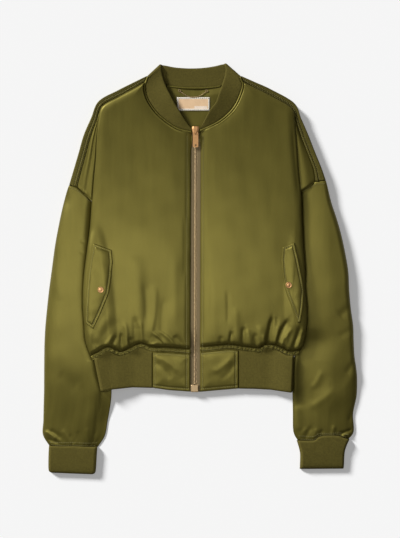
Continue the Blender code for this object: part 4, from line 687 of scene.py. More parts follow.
def tube(outer, inner, uv):
    """A wall between two lofted rings, open at both ends; uv has one column more."""
    rows, columns = outer.shape[:2]
    size = rows * columns
    spots, pattern = squares(rows, columns, True)
    flat = uv.reshape(-1, 2)
    k = np.arange(columns)
    n = (k + 1) % columns
    last = (rows - 1) * columns
    ends = np.concatenate([
        np.stack([k, n, size + n, size + k], axis=1),
        np.stack([last + n, last + k, size + last + k, size + last + n], axis=1)])
    end_uv = np.concatenate([
        np.stack([k, k + 1, k + 1, k], axis=1),
        (rows - 1) * (columns + 1) + np.stack([k + 1, k, k, k + 1], axis=1)])
    vertices = np.concatenate([outer.reshape(-1, 3), inner.reshape(-1, 3)])
    faces = np.concatenate([spots[:, ::-1], spots + size, ends])
    corners = np.concatenate([flat[pattern][:, ::-1], flat[pattern], flat[end_uv]])
    return vertices, faces, corners


def round_tube(spot, width, below, lap):
    """Distances round a flat tube: over its top, then back below it at shares of its width.
    Those of its pattern run on, to a lap past twice the width."""
    below = np.array(below)[None, :] * width
    return (np.concatenate([spot, below], axis=1),
            np.concatenate([spot, 2 * width - below, 2 * width + lap], axis=1) * MM)


def slit_side(above, below):
    """The side of a tube's slit for its columns: 1 above, -1 below, and 0 at both its edges."""
    side = np.concatenate([np.ones(above), -np.ones(below)])[None, :]
    side[0, 0] = side[0, above - 1] = 0.0
    return side


def stamped(shape, faces, origin, along, up):
    """Copies of one small shape, each at its origin with its x axis along a direction."""
    along = along / lengths(along)[:, None]
    side = np.cross(up, along)
    side /= lengths(side)[:, None]
    up = np.cross(along, side)
    placed = (origin[:, None] + shape[None, :, 0:1] * along[:, None]
              + shape[None, :, 1:2] * side[:, None] + shape[None, :, 2:3] * up[:, None])
    count, size = placed.shape[:2]
    every = (faces[None] + size * np.arange(count)[:, None, None]).reshape(-1, 4)
    corners = placed.reshape(-1, 3)[every][..., :2] * MM
    return placed.reshape(-1, 3), every, corners


def joined(parts):
    """Several parts of vertices, faces and pattern corners as one."""
    start = np.cumsum([0] + [len(p[0]) for p in parts[:-1]])
    return (np.concatenate([p[0] for p in parts]),
            np.concatenate([p[1] + s for p, s in zip(parts, start)]),
            np.concatenate([p[2] for p in parts]))


def add_object(name, data):
    """An object in the scene, with its data."""
    made = bpy.data.objects.new(name, data)
    bpy.context.scene.collection.objects.link(made)
    return made


def lit_pieces():
    """The collection of what the strip light shines on: the jacket, and not the floor."""
    name = "lit_by_strip"
    return bpy.data.collections.get(name) or bpy.data.collections.new(name)


def make_piece(name, part, kind, node, replace=True):
    """One object from a part, faces outwards, which rides on the jacket and stands for a node.
    The part is turned inside out where the sum of its loose pyramids is below nought."""
    vertices, faces, corners = part
    loose = vertices[faces]
    volume = ((np.cross(loose[:, 0], loose[:, 1]) * loose[:, 2]).sum()
              + (np.cross(loose[:, 0], loose[:, 2]) * loose[:, 3]).sum())
    if volume < 0:
        faces, corners = faces[:, ::-1], corners[:, ::-1]
    mesh = bpy.data.meshes.new(name)
    mesh.from_pydata((vertices * MM).tolist(), [], faces.tolist())
    layer = mesh.uv_layers.new(name="Cloth")
    layer.data.foreach_set("uv", np.ascontiguousarray(corners, dtype=np.float32).ravel())
    mesh.shade_smooth()
    mesh.materials.append(finish_of(kind))
    piece = add_object(name, mesh)
    lit_pieces().objects.link(piece)
    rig.ride(piece, "jacket")
    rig.slot(piece, node)
    if replace:
        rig.replaces(piece, node)
    return piece


def make_cloth(name, part, kind, node, rests_on):
    """A piece of cloth: it also says the cut of what shows of it, and what it lies on."""
    piece = make_piece(name, part, kind, node)
    width, length, area = SHEETS[name]
    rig.sheet(piece, flat=(width, length), held="laid", rests_on=rests_on, area=area)


# ---------------------------------------------------------------- materials

def shade(colour, share=1.0):
    """A colour made darker or lighter, with its alpha."""
    return (*[min(1.0, c * share) for c in colour], 1.0)


class Finish:
    """A material of the Principled shader, to which patterns are added node by node."""

    def __init__(self, name, colour, settings):
        """Starts with one colour, the shader's own settings and the coordinates."""
        self.material = bpy.data.materials.new(name)
        self.material.use_nodes = True
        self.material.diffuse_color = shade(colour)
        self.tree = self.material.node_tree
        self.shader = self.tree.nodes["Principled BSDF"]
        for socket, value in {"Base Color": shade(colour), **settings}.items():
            self.shader.inputs[socket].default_value = value
        self.place = self.add("TexCoord")

    def add(self, kind, links=(), **values):
        """A node with its values, and links from outputs to its inputs. A value goes to the
        input of that name or, after "in", of that number, or else it is a setting."""
        node = self.tree.nodes.new("ShaderNode" + kind)
        for key, value in values.items():
            if key in node.inputs:
                node.inputs[key].default_value = value
            elif key.startswith("in"):
                node.inputs[int(key[2:])].default_value = value
            else:
                setattr(node, key, value)
        for source, target in links:
            self.tree.links.new(source, node.inputs[target])
        return node

    def feed(self, source, socket):
        """Links an output to one of the shader's own sockets."""
        self.tree.links.new(source, self.shader.inputs[socket])

    def noise(self, space, **values):
        """Noise on the pattern's or on the object's coordinates."""
        return self.add("TexNoise", [(self.place.outputs[space], "Vector")], **values).outputs[0]

    def bands(self, space, direction, **values):
        """Parallel bands on the pattern's or on the object's coordinates."""
        return self.add("TexWave", [(self.place.outputs[space], "Vector")], wave_type="BANDS",
                        bands_direction=direction, **values).outputs["Fac"]

    def combine(self, a, b, operation):
        """Two outputs added, or the larger or smaller of them."""
        return self.add("Math", [(a, 0), (b, 1)], operation=operation).outputs[0]

    def spread(self, value, **limits):
        """An output stretched from one range to another."""
        named = {key.replace("_", " ").title(): limit for key, limit in limits.items()}
        return self.add("MapRange", [(value, "Value")], **named).outputs[0]

    def two_tones(self, share, first, second):
        """Two colours mixed by an output, as the base colour."""
        mixed = self.add("Mix", [(share, 0)], data_type="RGBA", in6=first, in7=second)
        self.feed(mixed.outputs[2], "Base Color")

    def bump(self, height, strength, distance, under=()):
        """A fine relief, over another one where that is given."""
        links = [(height, "Height"), *[(normal, "Normal") for normal in under]]
        relief = self.add("Bump", links, Strength=strength, Distance=distance).outputs[0]
        self.feed(relief, "Normal")
        return relief


def satin_finish(name, colour, light=1.0):
    """Satin: yarn floats as a fine bump, streaks along the grain, a long sheen across it. Cut
    across the grain it throws back less of the light: its light is below one."""
    finish = Finish(name, colour, {"Roughness": 0.46, "Metallic": 0.62, "Anisotropic": 0.4,
                                   "Specular IOR Level": 0.15})
    along_grain = finish.add("Mapping", [(finish.place.outputs["UV"], "Vector")],
                             Scale=(90.0, 9.0, 1.0))
    streaks = finish.add("TexNoise", [(along_grain.outputs[0], "Vector")], Scale=1.0,
                         Detail=3.0, Roughness=0.6).outputs[0]
    patches = finish.noise("Object", Scale=14.0, Detail=2.0, Roughness=0.5)
    uneven = finish.spread(finish.combine(streaks, patches, "ADD"), from_min=0.7, from_max=1.3)
    # light below one darkens both tones of the colour: painted shade
    finish.two_tones(uneven, shade(colour, 0.93 * light), shade(colour, 1.07 * light))
    finish.feed(finish.spread(streaks, to_min=0.43, to_max=0.52), "Roughness")
    yarn = finish.bands("UV", "X", Scale=500.0, Distortion=1.5, Detail=1.0)
    soft = finish.bump(patches, 0.25, 0.002)
    finish.bump(yarn, 0.06, 0.0002, [soft])
    tangent = finish.add("Tangent", direction_type="UV_MAP", uv_map="Cloth")
    finish.feed(tangent.outputs[0], "Tangent")
    return finish.material


def rib_finish(name, colour):
    """Rib knit: rows of small loops across the ribs, matte and slightly fuzzy."""
    finish = Finish(name, colour, {"Roughness": 0.88, "Specular IOR Level": 0.08})
    loops = finish.bands("UV", "Y", Scale=260.0, Distortion=3.0, Detail=2.0)
    knit = finish.combine(loops, finish.noise("Object", Scale=330.0, Detail=4.0), "ADD")
    share = finish.spread(knit, from_min=0.3, from_max=1.6)
    # darker where the knit's relief is low: painted shade in the loops' hollows, mixed with random tone
    finish.two_tones(share, shade(colour, 0.55), shade(colour, 1.4))
    finish.bump(knit, 0.35, 0.0004)
    return finish.material


def tape_finish(name, colour):
    """Zip tape: a fine twill of two tones."""
    finish = Finish(name, colour, {"Roughness": 0.8})
    twill = finish.bands("UV", "DIAGONAL", Scale=420.0, Distortion=0.6)
    # darker where the twill's relief is low: painted shade
    finish.two_tones(twill, shade(colour, 0.7), shade(colour, 1.2))
    finish.bump(twill, 0.3, 0.0002)
    return finish.material


def metal_finish(name, colour, roughness):
    """Plated metal with faint rubbed patches."""
    finish = Finish(name, colour, {"Roughness": roughness, "Metallic": 1.0})
    rubbed = finish.noise("Object", Scale=600.0, Detail=3.0)
    finish.two_tones(rubbed, shade(colour, 0.82), shade(colour, 1.12))
    rough = finish.spread(rubbed, to_min=roughness * 0.7, to_max=roughness * 1.4)
    finish.feed(rough, "Roughness")
    return finish.material


def thread_finish(name, colour):
    """Sewing thread: two twisted plies."""
    finish = Finish(name, colour, {"Roughness": 0.55})
    ply = finish.bands("Object", "DIAGONAL", Scale=900.0)
    finish.two_tones(ply, shade(colour, 0.75), shade(colour, 1.2))
    return finish.material


def label_finish(name, ground, border):
    """A blank woven label: a pale border, a tan ground and a paler panel at its lower right."""
    finish = Finish(name, ground, {"Roughness": 0.6})
    split = finish.add("SeparateXYZ", [(finish.place.outputs["UV"], "Vector")])
    (x0, y0), (x1, y1) = LABEL

    def beyond(axis, limit, way):
        """1 where the pattern lies past a limit, or before it, along an axis."""
        operation = "GREATER_THAN" if way > 0 else "LESS_THAN"
        return finish.add("Math", [(split.outputs[axis], 0)], operation=operation,
                          in1=limit * MM).outputs[0]

    side, foot = LABEL_BORDER
    left, right, low, high = LABEL_PANEL
    sides = finish.combine(beyond(0, x0 + side, -1), beyond(0, x1 - side, 1), "MAXIMUM")
    ends = finish.combine(beyond(1, y0 + foot, -1), beyond(1, y1 - side, 1), "MAXIMUM")
    panel = finish.combine(
        finish.combine(beyond(0, x0 + left, 1), beyond(0, x1 - right, -1), "MINIMUM"),
        finish.combine(beyond(1, y0 + low, 1), beyond(1, y0 + high, -1), "MINIMUM"), "MINIMUM")
    paler = finish.add("Math", [(panel, 0)], operation="MULTIPLY", in1=0.6).outputs[0]
    pale = finish.combine(finish.combine(sides, ends, "MAXIMUM"), paler, "MAXIMUM")
    finish.two_tones(pale, shade(ground), shade(border))
    finish.bump(finish.bands("UV", "Y", Scale=900.0, Distortion=0.5), 0.25, 0.0002)
    return finish.material


def floor_finish(name, colour, glow):
    """A matte pale floor with a faint grain, which gives a little light of its own."""
    finish = Finish(name, colour, {"Roughness": 0.9, "Specular IOR Level": 0.0,
                                   "Emission Color": WHITE, "Emission Strength": glow})
    finish.bump(finish.noise("Object", Scale=300.0), 0.05, 0.0002)
    return finish.material


FINISHES = {
    "satin": lambda name, colours: satin_finish(name, colours.satin),
    # the strips take the satin with its colour darkened: painted shade for their darker sheen
    "bias": lambda name, colours: satin_finish(name, colours.satin, BIAS_PAINTED_SHADE),
    "rib": lambda name, colours: rib_finish(name, colours.rib),
    "tape": lambda name, colours: tape_finish(name, colours.tape),
    "brass": lambda name, colours: metal_finish(name, colours.brass, 0.50),
    "copper": lambda name, colours: metal_finish(name, colours.copper, 0.60),
    "thread": lambda name, colours: thread_finish(name, colours.thread),
    "label": lambda name, colours: label_finish(name, colours.label_ground,
                                                colours.label_border),
}


def finish_of(kind):
    """The material of a kind, made once."""
    name = "jacket_" + kind
    colours = bpy.context.scene.jacket_colours
    return bpy.data.materials.get(name) or FINISHES[kind](name, colours)


def length_of(name):
    """One of the panel's lengths, in millimetres."""
    return getattr(bpy.context.scene.jacket_sizes, name) / MM


# ---------------------------------------------------------------- the body's heights

def rows_of(half):
    """A front's rows of two points each, as an array."""
    return np.array(FRONT_ROWS[half], float)


def hem_line(half):
    """The hem seam of one front, as a smooth line."""
    return smooth(HEM_SEAM[half], 3.0)


def hem_seam_at(half, x):
    """Y of the hem seam of one half at X."""
    hem = hem_line(half)
    return read_at(hem[np.argsort(hem[:, 0])], x)


def zip_edge_at(half, y):
    """X of a front's zip edge at a height Y."""
    rows = rows_of(half)[NECK_ROWS - 1:]
    return np.interp(-y, -rows[:, 3], rows[:, 2])


def tuck_at(half, y):
    """How much of a sleeve lies under the body's side at a height Y."""
    return read_at(TUCK[half], y)


def inwards_of(plan, half):
    """Distance of plan points from the body's side edge, along X."""
    rows = rows_of(half)[::-1]
    return np.abs(plan[..., 0] - np.interp(plan[..., 1], rows[:, 1], rows[:, 0]))


def ride_over(inwards, tuck, lead_in):
    """Height of an underside over a tucked sleeve: highest at the body's side, lower in a
    straight line to the sleeve's inner edge, and then eased down to the floor."""
    on_sleeve = TUCK_EDGE + TUCK_SLOPE * (tuck - inwards)
    lead = TUCK_EDGE * (1 - ease((inwards - tuck) / lead_in))
    return np.where(inwards <= tuck, on_sleeve, lead)


def body_lift(plan, half):
    """Height of the body's underside, which rides over the tucked sleeve."""
    tuck = tuck_at(half, plan[..., 1])
    return ride_over(inwards_of(plan, half), tuck, LEAD_IN) * ease(tuck / 24.0)


def layer_height(plan, half):
    """Height of the line between the back and a front: level, lower at the hem seam, and
    higher where the body rides over the sleeve, with a soft maximum of the two."""
    from_hem, _ = away(plan, hem_line(half))
    mid = HEM_LAYER + (MID - HEM_LAYER) * ease(from_hem / HEM_RISE)
    over = body_lift(plan, half) + BACK_RIM + (mid - BACK_RIM) * round_up(
        inwards_of(plan, half), 60.0)
    return mid + np.logaddexp(0, (over - mid) * 1.4) / 1.4 - math.log(2) / 1.4 * bell(
        over - mid, 1.5)


def nape_height(y):
    """Height of the back's inner face at a height Y, near the nape."""
    return read_at(NAPE_MIDDLE[::-1], y)


def front_height(plan, half):
    """Height of a front's upper face. It is a dome that rises as parabolas and quarter circles
    from the side, the neck, the zip and the hem; above the hem comes a flat stitched strip. The
    swells, folds, gathers and puckers are added to it, and fade out at the seams."""
    rows = rows_of(half)
    wadding, gathering, _, _ = PHASES[half]
    to_edge, _ = away(plan, smooth(rows[:, :2], 4.0))
    to_neck, _ = away(plan, smooth(rows[:NECK_ROWS, 2:], 3.0))
    to_zip, _ = away(plan, rows[NECK_ROWS - 1:, 2:])
    to_hem, along_hem = away(plan, hem_line(half))
    above = np.maximum(to_hem - HEM_SEWN, 0)
    nearest = np.minimum(np.minimum(to_edge, 2.0 * to_neck + 1.0), np.minimum(to_zip, above))
    inner = np.minimum(2.6 * to_edge, 1.5 * to_neck + 8)
    dome = flat_top(to_zip, ZIP_DOME) * (
        0.6 * round_up(above, 6.0) + 0.4 * flat_top(above, HEM_SLOPE[half]))
    thick = THIN + (2.0 + 1.8 * ease(to_zip / 14.0)) * round_up(nearest, FRONT_EDGE)
    thick += (length_of("front_full") - FRONT_EDGE) * round_up(inner, EDGE_DOME) * dome
    # The upper face stays level where the layer line below it comes down to the hem.
    thick += (MID - HEM_LAYER) * (1 - ease(to_hem / HEM_RISE)) * ease(above / 9.0)
    # The stitched edge is thinner where the rib gathers it: from the tab's end to the side.
    gathered = ease(((TAB_END[half] - plan[..., 0]) * WAY[half] + 12.0) / 30.0)
    thick += (HEM_STRIP - 2.2 * gathered) * round_up(to_hem, 1.6) * (
        1 - ease((to_hem - HEM_SEWN + 1.8) / 2.0))
    thick -= 0.3 * bell(to_zip - PLACKET[half], 1.2)
    thick += ease(nearest / 9.0) * (swell_height(plan, FRONT_SWELLS[half])
                                    + 0.35 * mottle(plan, 17.0, wadding))
    folds = fold_height(plan, FRONT_FOLDS[half])
    thick += ease((to_zip - 3) / 12.0) * ease(to_edge / 8.0) * ease((above + 1.0) / 6.0) * folds
    strength = 0.35 + 0.65 * gathered
    thick += strength * gathers(along_hem, above, 10.0, 1.3, gathering) * ease(above / 2.5)
    pucker = np.sin(along_hem * 0.92 + 1.5 * np.sin(along_hem * 0.21))
    thick += (0.35 + 0.4 * strength) * pucker * bell(to_hem - 3.8, 2.6)
    return layer_height(plan, half) + SEAT + np.maximum(thick, THIN)


def front_plan(half):
    """Plan points of a front: straight rows from its outer edge to its neck or zip edge, the
    last ones closer together and bent to the hem seam's waves."""
    rows = even_rows(smooth(rows_of(half), FRONT_STEP, (2, 3)), FRONT_STEP)
    rows = np.concatenate([rows[:-8], even(rows[-8:], count=HEM_ROWS)])
    plan = ruled(rows[:, :2], rows[:, 2:], FRONT_COLUMNS)
    last = plan[-1]
    above = plan[..., 1] - last[None, :, 1]
    shift = hem_seam_at(half, last[:, 0]) - last[:, 1]
    reach = np.clip(1 - (above - 14.0) / HEM_BEND, 0, 1)
    plan[..., 1] += shift[None, :] * ease(reach) - 1.5 * ease(1 - above / 10.0)
    return plan


# ---------------------------------------------------------------- stitches

def stitch_shape(length, radius):
    """A short thread, thin at both ends: rings of four points along a shallow arch."""
    x = np.array([-0.5, -0.28, 0.28, 0.5]) * length
    high = np.array([-0.7, 0.75, 0.75, -0.7]) * radius
    thick = np.array([0.35, 1.0, 1.0, 0.35]) * radius
    turn = np.linspace(0, 2 * math.pi, 4, endpoint=False) + math.pi / 4
    rings = np.stack([np.broadcast_to(x[:, None], (4, 4)), thick[:, None] * np.cos(turn),
                      high[:, None] + thick[:, None] * np.sin(turn)], axis=-1)
    spots, _ = squares(4, 4, True)
    return rings.reshape(-1, 3), np.concatenate([spots, [[3, 2, 1, 0], [12, 13, 14, 15]]])


def on_surface(surface, points):
    """Plan points just above the mean height of a surface's four nearest points."""
    flat = surface.reshape(-1, 3)
    gap = ((points[:, None] - flat[None, :, :2]) ** 2).sum(-1)
    near = np.argpartition(gap, 4, axis=1)[:, :4]
    share = 1 / (np.take_along_axis(gap, near, 1) + 0.05)
    return lift_points(points, (flat[near, 2] * share).sum(1) / share.sum(1) + 0.12)


def sew(name, lines, node):
    """Topstitching along lines of points on a piece's face, as a piece of its own."""
    length = length_of("stitch")
    shape, faces = stitch_shape(length * 0.8, THREAD_RADIUS)
    parts = []
    for line in lines:
        spots = even(line, step=length)
        along = np.gradient(spots, axis=0)[:-1]
        parts.append(stamped(shape, faces, spots[:-1] + along * 0.5, along, upright(len(along))))
    make_piece(f"{name}_stitching", joined(parts), "thread", node, replace=False)


# ---------------------------------------------------------------- the pieces

def make_stage():
    """The pale floor, the soft light and the camera."""
    scene, sizes = bpy.context.scene, bpy.context.scene.jacket_sizes
    lens = bpy.data.cameras.new("camera")
    lens.sensor_fit = "VERTICAL"
    lens.sensor_height = SENSOR
    lens.lens = FOCAL_LENGTH
    camera = add_object("camera", lens)
    camera.location = (0.0, 0.0, VIEW_HEIGHT * FOCAL_LENGTH / SENSOR)
    scene.camera = camera
    scene.view_settings.view_transform = "Standard"
    scene.view_settings.look = "None"
    mesh = bpy.data.meshes.new("floor")
    mesh.from_pydata([(x * FLOOR_HALF, y * FLOOR_HALF, 0)
                      for x, y in ((-1, -1), (1, -1), (1, 1), (-1, 1))], [], [(0, 1, 2, 3)])
    mesh.materials.append(floor_finish("floor", scene.jacket_colours.floor, sizes.floor_glow))
    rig.stage(add_object("floor", mesh))
    world = bpy.data.worlds.new("studio")
    world.use_nodes = True
    background = world.node_tree.nodes["Background"].inputs
    background["Color"].default_value = WHITE
    background["Strength"].default_value = sizes.room_light
    scene.world = world
    sun = bpy.data.lights.new("window", "SUN")
    sun.energy = sizes.window_light
    sun.angle = math.radians(WINDOW_SPREAD)
    add_object("window", sun).rotation_euler = Vector(WINDOW_WAY).to_track_quat("-Z", "Y").to_euler()
    strip = bpy.data.lights.new("strip", "AREA")
    strip.shape = "RECTANGLE"
    strip.size, strip.size_y = STRIP_LIGHT_SIZE
    strip.energy = sizes.strip_light
    box = add_object("strip", strip)
    box.location = STRIP_LIGHT_PLACE
    box.visible_camera = False
    box.light_linking.receiver_collection = lit_pieces()


def make_fronts():
    """Both fronts, with the drop-shoulder parts that pass under their edges."""
    for half in HALVES:
        node = f"front_{half}"
        plan = front_plan(half)
        top = front_height(plan, half)
        part = padded(plan, top, layer_height(plan, half) + SEAT)
        make_cloth(f"{half}_front_panel", part, "satin", node, ["back"])
        y = np.linspace(*PLACKET_ENDS, 120)
        placket = np.stack([zip_edge_at(half, y) - WAY[half] * PLACKET[half], y], 1)
        hem = even(hem_line(half), step=1.2)[3:-2]
        lines = placket, *(hem + (0.0, rise) for rise in HEM_STITCHES)
        sew(f"{half}_front", [on_surface(lift_points(plan, top), line) for line in lines], node)
        make_drop(half)


def make_drop(half):
    """The drop-shoulder part, from the strip to just under the front's edge: rounded at the
    strip, with a soft ridge or a half sine across, that falls towards the front."""
    strip = np.array(STRIP_ROWS[half], float)[3:, 2:]
    fold = rows_of(half)[3:9, :2]
    rows = smooth(np.concatenate([strip, fold], axis=1), 2.4)
    rows[:, 2] += WAY[half] * 3.0
    plan = ruled(rows[:, :2], rows[:, 2:], 22)
    share = np.linspace(0, 1, plan.shape[1])[None, :]
    down = np.linspace(0, 1, plan.shape[0])[:, None]
    to_strip = share * lengths(plan[:, 0] - plan[:, -1])[:, None]
    if half == "left":
        height = 13.0 + 1.2 * round_up(to_strip, 4.0) + 4.6 * ease((share - 0.56) / 0.26)
        height = height - 6.0 * ease((share - 0.86) / 0.14)
        height += 1.7 * bell(share - 0.38, 0.09) * ease(down * 3)
    else:
        height = 12.4 + 1.0 * round_up(to_strip, 4.0) + 2.6 * np.sin(np.pi * share) ** 1.5
    height = height - 1.2 * (1 - ease((1 - down) * 160.0 / 5.0))
    base = np.full(height.shape, MID + SEAT)
    part = padded(plan, np.maximum(height, base + 0.5), base)
    make_cloth(f"{half}_drop_shoulder", part, "satin", f"front_{half}", ["back"])


def make_strips():
    """The strips along the shoulders: rounded at both edges, with a ridge, two stitched grooves
    as bells across, and a fine hatch of slanting sines on the outer part."""
    for half in HALVES:
        node = f"shoulder_strip_{half}"
        rows = smooth(STRIP_ROWS[half], 1.1)
        plan = ruled(rows[:, :2], rows[:, 2:], STRIP_COLUMNS)
        share = np.linspace(0, 1, STRIP_COLUMNS)[None, :]
        wide = lengths(rows[:, :2] - rows[:, 2:])[:, None]
        down = np.linspace(0, 1, len(rows))[:, None]
        top = np.interp(share, *STRIP_TOP)
        top = top - 1.2 * (1 - round_up(share * wide, 2.0)) - 1.4 * (
            1 - round_up((1 - share) * wide, 2.0))
        top = top + 0.9 * bell((share - 0.77) * wide, 1.1)
        for groove in STRIP_GROOVES:
            top = top - 0.9 * bell((share - groove) * wide, 0.8)
        hatch = np.sin(down * 480.0 + share * wide * 0.9) * ease(share * 8) * ease(
            (STRIP_GROOVES[0] - share) * 12)
        top = top + 0.22 * hatch - 0.8 * (1 - round_up((1 - down) * 240.0, 4.0))
        base = np.broadcast_to(np.interp(share, *STRIP_BASE), top.shape)
        top = np.maximum(top, base + 0.5)
        # the strips' satin has its colour darkened: painted shade for a darker sheen
        make_cloth(f"{half}_shoulder", padded(plan, top, base), "bias", node, ["back"])
        face = lift_points(plan, top + 0.1)
        sewn = [round(groove * (STRIP_COLUMNS - 1)) for groove in STRIP_GROOVES]
        sew(f"{half}_shoulder", [face[2:-2, column] for column in sewn], node)


def back_controls(half):
    """Rows of the back's half: outline, then the middle, from the shoulder down to the hem."""
    strip = np.array(STRIP_ROWS[half], float)[:, :2]
    rows = rows_of(half)
    nape_y, nape_z = np.array(NAPE_MIDDLE, float).T
    outline = np.concatenate([[NAPE[half]], strip[1:], rows[8:, :2]])
    middle_y = np.concatenate([nape_y, rows[5:9, 3], rows[8:, 3]])
    middle_y[9] -= 6.0
    middle_z = np.concatenate([nape_z, np.full(len(middle_y) - len(nape_z), MID)])
    middle_x = np.full(len(middle_y), BACK_MIDDLE[half])
    return np.concatenate([outline, np.stack([middle_x, middle_y, middle_z], axis=1)], axis=1)


def back_plan():
    """Plan points of the back: straight rows from the left outline to the middle, across it,
    and on to the right outline, bent to the nape's line and to the hem seam's waves. The Y of
    each row in the middle comes with them."""
    both = np.concatenate([back_controls(half) for half in HALVES], axis=1)
    upper, lower = (smooth(part, BACK_STEP, (2, 3)) for part in (both[:9], both[9:]))
    bridge = upper[-1:] + (lower[:1] - upper[-1:]) * np.linspace(0, 1, 7)[1:-1, None]
    rows = np.concatenate([upper, bridge, lower])
    plan = np.concatenate([
        ruled(rows[:, 0:2], rows[:, 2:4], BACK_COLUMNS),
        ruled(rows[:, 2:4], rows[:, 7:9], 6)[:, 1:-1],
        ruled(rows[:, 7:9], rows[:, 5:7], BACK_COLUMNS)], axis=1)
    sag = read_at(NAPE_LINE, plan[0, :, 0]) - plan[0, :, 1]
    plan[..., 1] += sag * ease(1 - (plan[0, :, 1] - plan[..., 1]) / 30.0)
    for half, part in BACK_HALVES:
        last = plan[-1][part[1]]
        shift = hem_seam_at(half, last[:, 0]) - last[:, 1]
        reach = np.clip(1 - (plan[part][..., 1] - last[None, :, 1]) / HEM_BEND, 0, 1)
        plan[part][..., 1] += shift[None, :] * ease(reach) - 1.5 * ease(reach * 4 - 3)
    return plan, rows[:, 3]


def make_back():
    """The back panel: flat on the floor, hollow over the tucked sleeves, up to the line between
    the back and the fronts. Above the armholes its rim is a quarter circle over the strips'
    undersides, and its inner face dips to the nape as the root of the share across."""
    plan, middle_y = back_plan()
    under = np.concatenate([body_lift(plan[part], half) for half, part in BACK_HALVES], 1)
    layer = np.concatenate([layer_height(plan[part], half) for half, part in BACK_HALVES], 1)
    above = plan[..., 1] > ARMHOLE
    share = np.concatenate([np.linspace(0, 1, BACK_COLUMNS), np.ones(4),
                            np.linspace(1, 0, BACK_COLUMNS)])[None, :]
    dip = (nape_height(middle_y)[:, None] - MID) * share ** 0.5
    layer = np.where(plan[..., 1] > NAPE_LOW, MID + dip, layer)
    column = np.arange(plan.shape[1])
    rim = round_up(np.minimum(column, column[::-1])[None, :] * BACK_STEP, 12.0)
    layer = np.where(above, np.minimum(layer, 7.4 + 3.6 * rim), layer)
    under = np.where(above, 4.5 * (1 - rim), np.maximum(under, 0))
    layer = np.maximum(layer, under + 1.2)
    layer = layer + 0.25 * mottle(plan, 14.0, 2.0) * np.where(above, share, 0)
    make_cloth("back_panel", padded(plan, layer, under), "satin", "back", ["floor"])


def sleeve_height(half, y, spot, width, crown, to_seam):
    """Height of a sleeve's top along each station. From the outer edge it rises as a quarter
    circle; from the inner edge it comes up beside the body's side, where the sleeve is covered,
    or from its own edge, where it lies free; the lower of the two counts."""
    start, reach = SLEEVE_COVER[half]
    covered = ease((y - start) / reach)
    blunt = 2.0 + 11.0 * (1 - ease(to_seam / 44.0))
    flank = 34.0 if half == "left" else 11.0 + 50.0 * ease((-196.0 - y) / 60.0)
    outer = blunt + (crown - blunt) * round_up((width - spot) / flank, 1.0) ** 0.9
    hidden = np.maximum(tuck_at(half, y), 0.0)
    ramp = 1.4 + (3.8 + TUCK_SLOPE * np.minimum(spot, hidden)) * ease(hidden / 20.0)
    if half == "left":
        tucked = ramp + (crown - ramp) * round_up(spot - hidden, 14.0)
        free = 1.5 + (crown - 1.5) * ease(spot / 40.0) ** 0.8
    else:
        press = 3.0 + 12.0 * ease((y + 305.0) / 65.0) * (1 - ease((y + 196.0) / 130.0))
        lead = 6.0 + 16.0 * ease((y + 150.0) / 80.0)
        rise = ease((spot - hidden - press + lead) / 72.0) ** 0.8
        rise = rise * ease((spot - hidden + 2.0) / 6.0)
        tucked, free = ramp + (crown - ramp) * rise, 1.2 + (crown - 1.2) * rise
    height = np.minimum(outer, tucked * covered + free * (1 - covered))
    return height, covered


